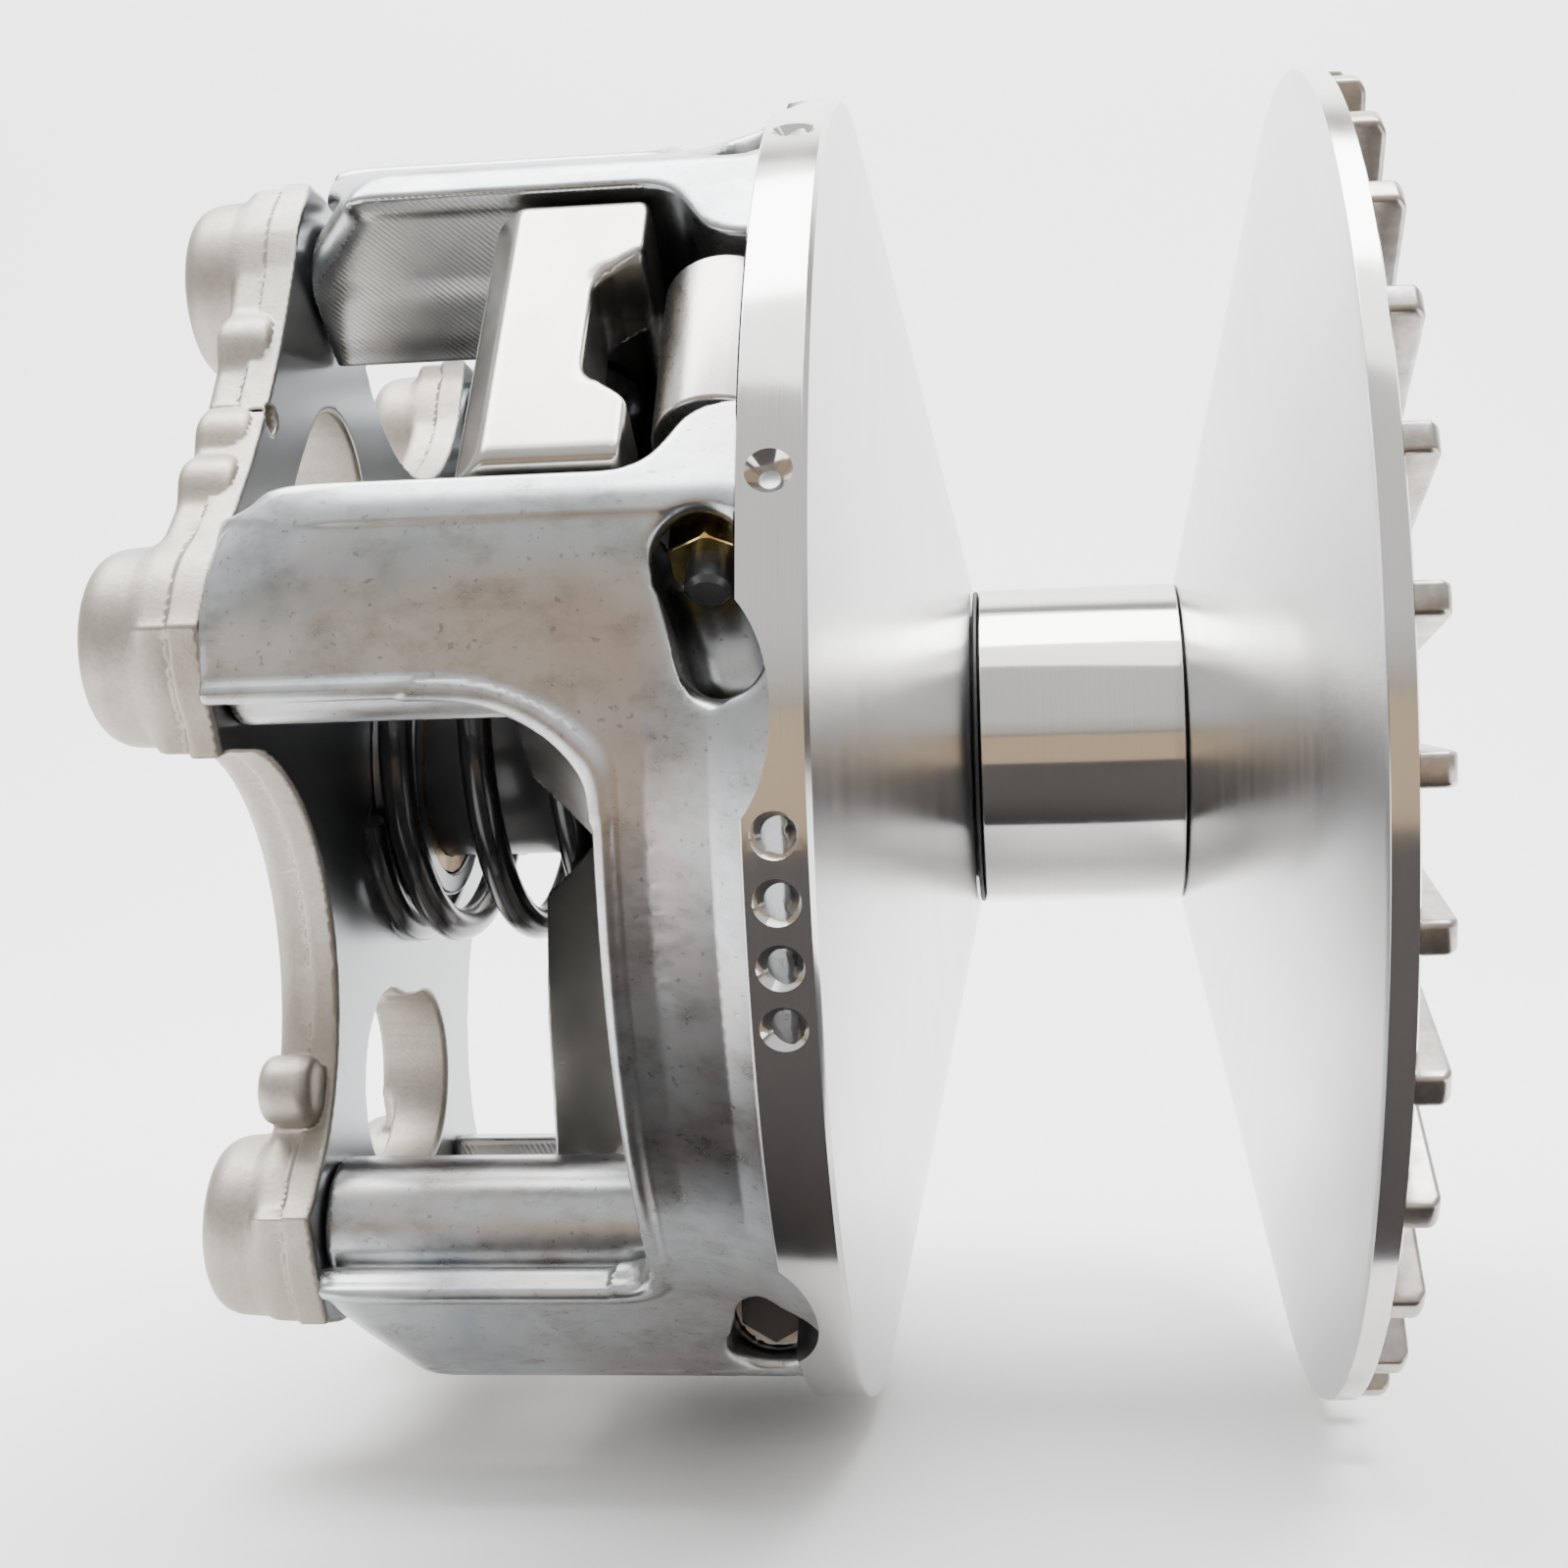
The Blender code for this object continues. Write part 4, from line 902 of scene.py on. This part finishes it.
def build_fixed_sheave():
    corners = [
        (-27.3, 21.4, 0.2),
        (-27.3, 25.1, 0.3),
        (-10.35, 100.3, 0.0),
        (-9.9, 101.6, 0.2),
        (-6.6, 101.6, 0.0),
        (-6.3, 101.0, 0.3),
        (-6.6, 97.0, 2.0),
        (-18.6, 34.0, 4.0),
        (-2.0, 31.0, 2.0),
        (-1.0, 29.0, 1.0),
        (-1.0, 21.4, 0.4),
    ]
    disc = turned("fixed_cone", corners, LOOKS["cone"])
    finish_rim(disc, LOOKS["rim"], 101.0)
    ride(disc, "shaft", ["fixed_sheave"])
    outline = [(-19.0, 30.0), (-9.0, 101.15), (-2.9, 101.15), (-1.8, 99.4), (-2.6, 60.0), (-5.0, 30.0)]
    fins = []
    for i in range(FIN_COUNT):
        fin = prism("fin", outline, -2.15, 2.15, LOOKS["fins"], "xs", 0.8)
        fin.data.transform(Matrix.Rotation(math.tau * (i + 0.25) / FIN_COUNT, 4, "X"))
        fins.append(fin)
    fins = join("cooling_fins", fins)
    smooth(fins, 35.0)
    ride(fins, "shaft", [])


def build_bearing():
    corners = [(-58.2, 23.2, 0.2), (-58.2, 25.1, 0.3), (-27.6, 25.1, 0.3), (-27.6, 23.2, 0.2)]
    ride(turned("bearing_ring", corners, LOOKS["sleeve"]), "sleeve", ["bearing_sleeve"])
    corners = [(-59.2, 21.3, 0.2), (-59.2, 24.9, 0.3), (-58.5, 24.9, 0.2), (-58.5, 21.3, 0.2)]
    ride(turned("bearing_lip_seal", corners, LOOKS["rubber"]), "shaft", ["bearing_seal"])


def build_shaft():
    corners = [
        (-0.1, 15.0, 0.4),
        (-42.0, 11.0, 0.2),
        (-42.0, 6.6, 0.2),
        (-154.0, 6.6, 0.2),
        (-154.0, 12.8, 0.3),
        (-163.0, 12.8, 0.3),
        (-163.0, 15.5, 0.9),
        (-60.0, 15.5, 0.6),
        (-60.0, 21.0, 0.5),
        (-0.1, 21.0, 0.8),
    ]
    ride(turned("drive_shaft", corners, LOOKS["black_steel"], 128), "shaft", ["main_shaft"])
    corners = [(-154.3, 6.5, 0.2), (-154.3, 12.4, 0.4), (-157.3, 12.4, 0.4), (-157.3, 6.5, 0.2)]
    ride(turned("bolt_washer", corners, LOOKS["zinc"], 96), "shaft", ["clutch_washer"])
    head = hex_piece("centre_bolt", -166.6, -157.6, 10.8, LOOKS["zinc"], 1.2)
    corners = [(-158.5, 6.0, 0.1), (-29.0, 6.0, 0.1), (-28.0, 5.0, 0.1)]
    shank = turned("shank", corners, LOOKS["zinc"], 64, closed=False)
    bolt = join("centre_bolt", [head, shank])
    ride(bolt, "shaft", ["clutch_bolt"])


def hex_piece(name, low, high, radius, mat, chamfer, hole=0.0):
    """A hexagon along the X axis with turned chamfers at both ends."""
    body = prism(name, hexagon(radius, 0.5), low, high, mat, "ts", 0.15, 1)
    outer, flat, depth = radius * 1.001, radius * 0.9, chamfer * 0.55
    ring = [(low - 0.1, flat, 0), (low + depth, outer, 0), (high - depth, outer, 0), (high + 0.1, flat, 0)]
    keep = turned("keep", ring, mat, 72, closed=False)
    cut(body, keep, operation="INTERSECT")
    if hole:
        cut(body, turned("hole", [(low - 1.0, hole, 0), (high + 1.0, hole, 0)], mat, 48, closed=False))
    return body


def at_spot(obj, name, angle, spot):
    """Names a piece and moves it to an (x, s) spot of the arm at this angle."""
    obj.name = name
    return place(obj, arm_matrix(angle) @ Matrix.Translation((spot[0], 0.0, spot[1])))


def build_cover_bolt(tag, angle, side):
    corners = [
        (-171.0, 5.6, 0.1),
        (-170.4, 6.5, 0.3),
        (-163.3, 6.5, 0.3),
        (-163.3, 4.0, 0.1),
        (-131.0, 4.0, 0.3),
    ]
    bolt = turned("cap", corners, LOOKS["zinc"], 48, closed=False)
    cut(bolt, prism("socket", hexagon(3.3), -172.0, -167.0, LOOKS["zinc"]))
    bolt.name = f"cap_screw_{tag}"
    place(bolt, arm_matrix(angle) @ Matrix.Translation((0.0, side * BOSS[0], BOSS[1])))
    ride(bolt, "movable", [f"cover_bolt_{tag}"])


def build_button(tag, angle, side):
    low, high = sorted((side * 25.0, side * 26.7))
    disc = along_t(turned("disc", [(low, 8.0, 0.3), (high, 8.0, 0.3)], LOOKS["nylon"], 64, closed=False))
    at_spot(disc, f"arm_button_{tag}", angle, ROLLER)
    ride(disc, "shaft", [f"slide_button_{tag}"])


def build_pivot(number, angle):
    """The flyweight's bolt and its nut."""
    nut = along_t(hex_piece("nut", -34.0, -28.6, 5.7, LOOKS["yellow"], 1.0, 3.05))
    at_spot(nut, f"pivot_nut_{number}", angle, PIVOT)
    ride(nut, "movable", [f"weight_nut_{number}"])
    corners = [(-38.6, 2.3, 0.0), (-37.9, 3.0, 0.1), (29.0, 3.0, 0.1)]
    shank = turned("shank", corners, LOOKS["black_steel"], 48, closed=False)
    head = hex_piece("head", 28.6, 33.2, 5.7, LOOKS["black_steel"], 0.9)
    name = f"pivot_bolt_{number}"
    bolt = at_spot(along_t(join(name, [shank, head])), name, angle, PIVOT)
    ride(bolt, "movable", [f"weight_bolt_{number}"])


def build_roller(number, angle):
    """The roller that a flyweight runs on, and its pin."""
    pin = along_t(turned("pin", [(-24.4, 3.0, 0.4), (24.4, 3.0, 0.4)], LOOKS["zinc"], 48, closed=False))
    at_spot(pin, f"pin_{number}", angle, ROLLER)
    ride(pin, "shaft", [f"roller_pin_{number}"])
    corners = [(-11.9, 3.4, 0.2), (-11.9, 7.0, 0.6), (11.9, 7.0, 0.6), (11.9, 3.4, 0.2)]
    roller = along_t(turned("roller", corners, LOOKS["black_steel"], 64))
    at_spot(roller, f"ramp_roller_{number}", angle, ROLLER)
    ride(roller, f"roller_body_{number}", [f"roller_{number}"])


def build_arm_pieces():
    for number, angle in enumerate(ARMS, 1):
        for side, letter in ((-1, "a"), (1, "b")):
            build_cover_bolt(f"{number}{letter}", angle, side)
            build_button(f"{number}{letter}", angle, side)
        build_pivot(number, angle)
        build_roller(number, angle)


def flyweight_outline():
    """(x, s) outline about the pivot. Its ramp keeps touching the roller as the sheave slides."""
    def path(share):
        """Centre of the roller, seen from the flyweight, after a share of the travel."""
        x = ROLLER[0] - PIVOT[0] - share * TRAVEL
        s = ROLLER[1] - PIVOT[1]
        c, k = math.cos(share * SWING), math.sin(share * SWING)
        return Vector((x * c - s * k, x * k + s * c))

    ramp = []
    for i in range(13):
        share = -0.04 + 1.11 * i / 12
        tangent = (path(share + 0.01) - path(share - 0.01)).normalized()
        normal = Vector((-tangent.y, tangent.x))
        if normal.x < 0.0:
            normal = -normal
        ramp.append(tuple(path(share) + normal * 7.5))
    return [(-5.8, -5.2)] + ramp + [(-2.0, -48.4), (0.3, -45.6), (2.0, -30.0), (3.8, -12.0), (5.6, -5.2)]


def build_flyweights():
    for number, angle in enumerate(ARMS, 1):
        corners = [(-13.6, 3.4, 0.3), (-13.6, 9.0, 0.7), (13.6, 9.0, 0.7), (13.6, 3.4, 0.3)]
        hub = along_t(turned("hub", corners, LOOKS["weight"], 96))
        blade = prism("blade", flyweight_outline(), -10.4, 10.4, LOOKS["dark_steel"], "xs", 0.5, 2)
        name = f"cam_weight_{number}"
        weight = join(name, [hub, blade])
        smooth(weight, 35.0)
        at_spot(weight, name, angle, PIVOT)
        ride(weight, f"weight_{number}", [f"flyweight_{number}"])


def build_spring():
    """A round wire whose first and last turns lie closed."""
    wire, radius, turns = 2.65, 26.95, 4.5
    left, right = -155.7 + wire, -106.3 - wire
    closed = 2.0 * wire * 1.06
    per_turn, sides = ((72, 20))
    total = int(turns * per_turn)
    points = []
    for i in range(total + 1):
        turn = i / per_turn
        if turn <= 1.0:
            x = left + closed * turn
        elif turn >= turns - 1.0:
            x = right - closed * (turns - turn)
        else:
            x = left + closed + (turn - 1.0) / (turns - 2.0) * (right - left - 2.0 * closed)
        a = math.tau * turn + math.radians(200.0)
        points.append(Vector((x, radius * math.cos(a), radius * math.sin(a))))
    verts, faces = [], []
    for i, point in enumerate(points):
        tangent = (points[min(i + 1, total)] - points[max(i - 1, 0)]).normalized()
        out = Vector((0.0, point.y, point.z)).normalized()
        out = (out - tangent * out.dot(tangent)).normalized()
        side = tangent.cross(out)
        for k in range(sides):
            a = math.tau * k / sides
            verts.append(point + wire * (math.cos(a) * out + math.sin(a) * side))
    for i in range(total):
        for k in range(sides):
            j = (k + 1) % sides
            faces.append((i * sides + k, i * sides + j, (i + 1) * sides + j, (i + 1) * sides + k))
    faces.append(tuple(range(sides)))
    faces.append(tuple(total * sides + k for k in range(sides)))
    spring = make_object("coil_spring", verts, faces, LOOKS["spring"])
    face_outwards(spring, 50.0)
    ride(spring, "shaft", ["primary_spring"])


build_movable()
build_cover()
build_spider()
build_fixed_sheave()
build_bearing()
build_shaft()
build_arm_pieces()
build_flyweights()
build_spring()

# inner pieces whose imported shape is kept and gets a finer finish
carried = {
    "bearing_cage": "brass",
    "thrust_washer_left": "zinc",
    "thrust_washer_right": "zinc",
    "sheave_bushing": "bronze",
    "cover_bushing": "bronze",
    "spider_lock_nut": "zinc",
}
for node, look in carried.items():
    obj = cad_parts[node]
    obj.data.materials.clear()
    obj.data.materials.append(LOOKS[look])


# ---------------------------------------------------------------- floor, light and camera

def world_light():
    """Bright sky above a dark horizon."""
    world = bpy.data.worlds.new("studio")
    bpy.context.scene.world = world
    world.use_nodes = True
    tree = world.node_tree
    background = tree.nodes["Background"]
    coords = tree.nodes.new("ShaderNodeTexCoord")
    split = tree.nodes.new("ShaderNodeSeparateXYZ")
    tree.links.new(coords.outputs["Generated"], split.inputs[0])
    ramp = tree.nodes.new("ShaderNodeValToRGB")
    lift = tree.nodes.new("ShaderNodeMath")
    lift.operation = "MULTIPLY_ADD"
    lift.inputs[1].default_value = 0.5
    lift.inputs[2].default_value = 0.5
    tree.links.new(split.outputs[2], lift.inputs[0])
    tree.links.new(lift.outputs[0], ramp.inputs["Fac"])
    stops = [
        (0.0, (0.30, 0.27, 0.27)),
        (0.2, (0.20, 0.18, 0.18)),
        (0.44, (0.10, 0.09, 0.09)),
        (0.535, (0.16, 0.14, 0.12)),
        (0.58, (0.75, 0.72, 0.66)),
        (0.66, (1.0, 1.0, 1.0)),
        (1.0, (1.05, 1.05, 1.05)),
    ]
    elements = ramp.color_ramp.elements
    elements.remove(elements[-1])
    for i, (position, color) in enumerate(stops):
        element = elements[0] if i == 0 else elements.new(position)
        element.position = position
        element.color = (*color, 1.0)
    tree.links.new(ramp.outputs["Color"], background.inputs["Color"])
    background.inputs["Strength"].default_value = 1.0


def area_light(name, location, target, size, size_y, power):
    data = bpy.data.lights.new(name, "AREA")
    data.shape = "RECTANGLE"
    data.size = size
    data.size_y = size_y
    data.energy = power
    obj = link_object(name, data)
    obj.location = location
    obj.rotation_euler = (Vector(target) - Vector(location)).to_track_quat("-Z", "Y").to_euler()


def strip(name, rows, mat):
    """A sheet through rows of (y, z, left x, right x) in millimetres."""
    verts = []
    for y, z, left, right in rows:
        verts += [(left, y, z), (right, y, z)]
    faces = [(2 * i, 2 * i + 1, 2 * i + 3, 2 * i + 2) for i in range(len(rows) - 1)]
    obj = make_object(name, verts, faces, mat)
    return obj


def build_floor():
    """A pale sweep: floor that curves up into a wall behind the object."""
    front, bend, radius, top, half = -1600.0, 550.0, 500.0, 2600.0, 2600.0
    rows = [(front, FLOOR_Z), (bend, FLOOR_Z)]
    for i in range(1, 13):
        a = math.radians(7.5 * i)
        rows.append((bend + radius * math.sin(a), FLOOR_Z + radius * (1.0 - math.cos(a))))
    rows.append((bend + radius, top))
    n = Nodes("paper_sweep")
    cloud = n.noise(n.scaled(1, 1, 1), 3.0, 3.0)
    n.set(base_color=n.mix(cloud, (0.93, 0.92, 0.92), (0.95, 0.945, 0.945)), roughness=0.9)
    strip("sweep", [(y, z, -half, half) for y, z in rows], n.mat)


def build_camera():
    data = bpy.data.cameras.new("camera")
    data.lens = 51.43
    data.sensor_width = 36.0
    camera = link_object("camera", data)
    yaw, pitch, roll = (math.radians(v) for v in (-6.42, -0.37, -1.61))
    forward = Vector((math.sin(yaw) * math.cos(pitch), math.cos(yaw) * math.cos(pitch), math.sin(pitch)))
    right = Vector((math.cos(yaw), -math.sin(yaw), 0.0))
    up = right.cross(forward)
    right, up = (
        math.cos(roll) * right + math.sin(roll) * up,
        -math.sin(roll) * right + math.cos(roll) * up,
    )
    matrix = Matrix((right, up, -forward)).transposed().to_4x4()
    matrix.translation = Vector((-0.050, -0.3629, -0.00282))
    camera.matrix_world = matrix
    bpy.context.scene.camera = camera


def build_card():
    """A dark card in front of the object, seen only in its reflections."""
    n = Nodes("dark_card")
    cloud = n.noise(n.scaled(1, 1, 1), 3.0, 3.0)
    split = n.node("ShaderNodeSeparateXYZ")
    n.link(n.coords, split.inputs[0])
    high = n.math("GREATER_THAN", split.outputs[2], -0.1)
    low_color = n.mix(cloud, (0.018, 0.016, 0.016), (0.03, 0.027, 0.026))
    n.set(base_color=n.mix(high, low_color, (0.2, 0.15, 0.1)), roughness=0.95)
    near = -74.0
    rows = [(near, -103.8), (-430.0, -103.0), (-540.0, -60.0), (-680.0, 70.0)]
    sides = [(y, z, -150.0 + 0.4 * (y - near), 120.0 - 0.6 * (y - near)) for y, z in rows]
    card = strip("dark_card", sides, n.mat)
    card.visible_camera = False
    card.visible_shadow = False
    card.visible_diffuse = False


build_floor()
build_card()
world_light()
area_light("key", (-0.1, -0.1, 1.1), (-0.08, 0.0, 0.0), 1.5, 1.1, 15.0)
area_light("wall", (-0.1, 0.15, 1.4), (-0.1, 1.0, 0.1), 2.2, 1.0, 80.0)
build_camera()
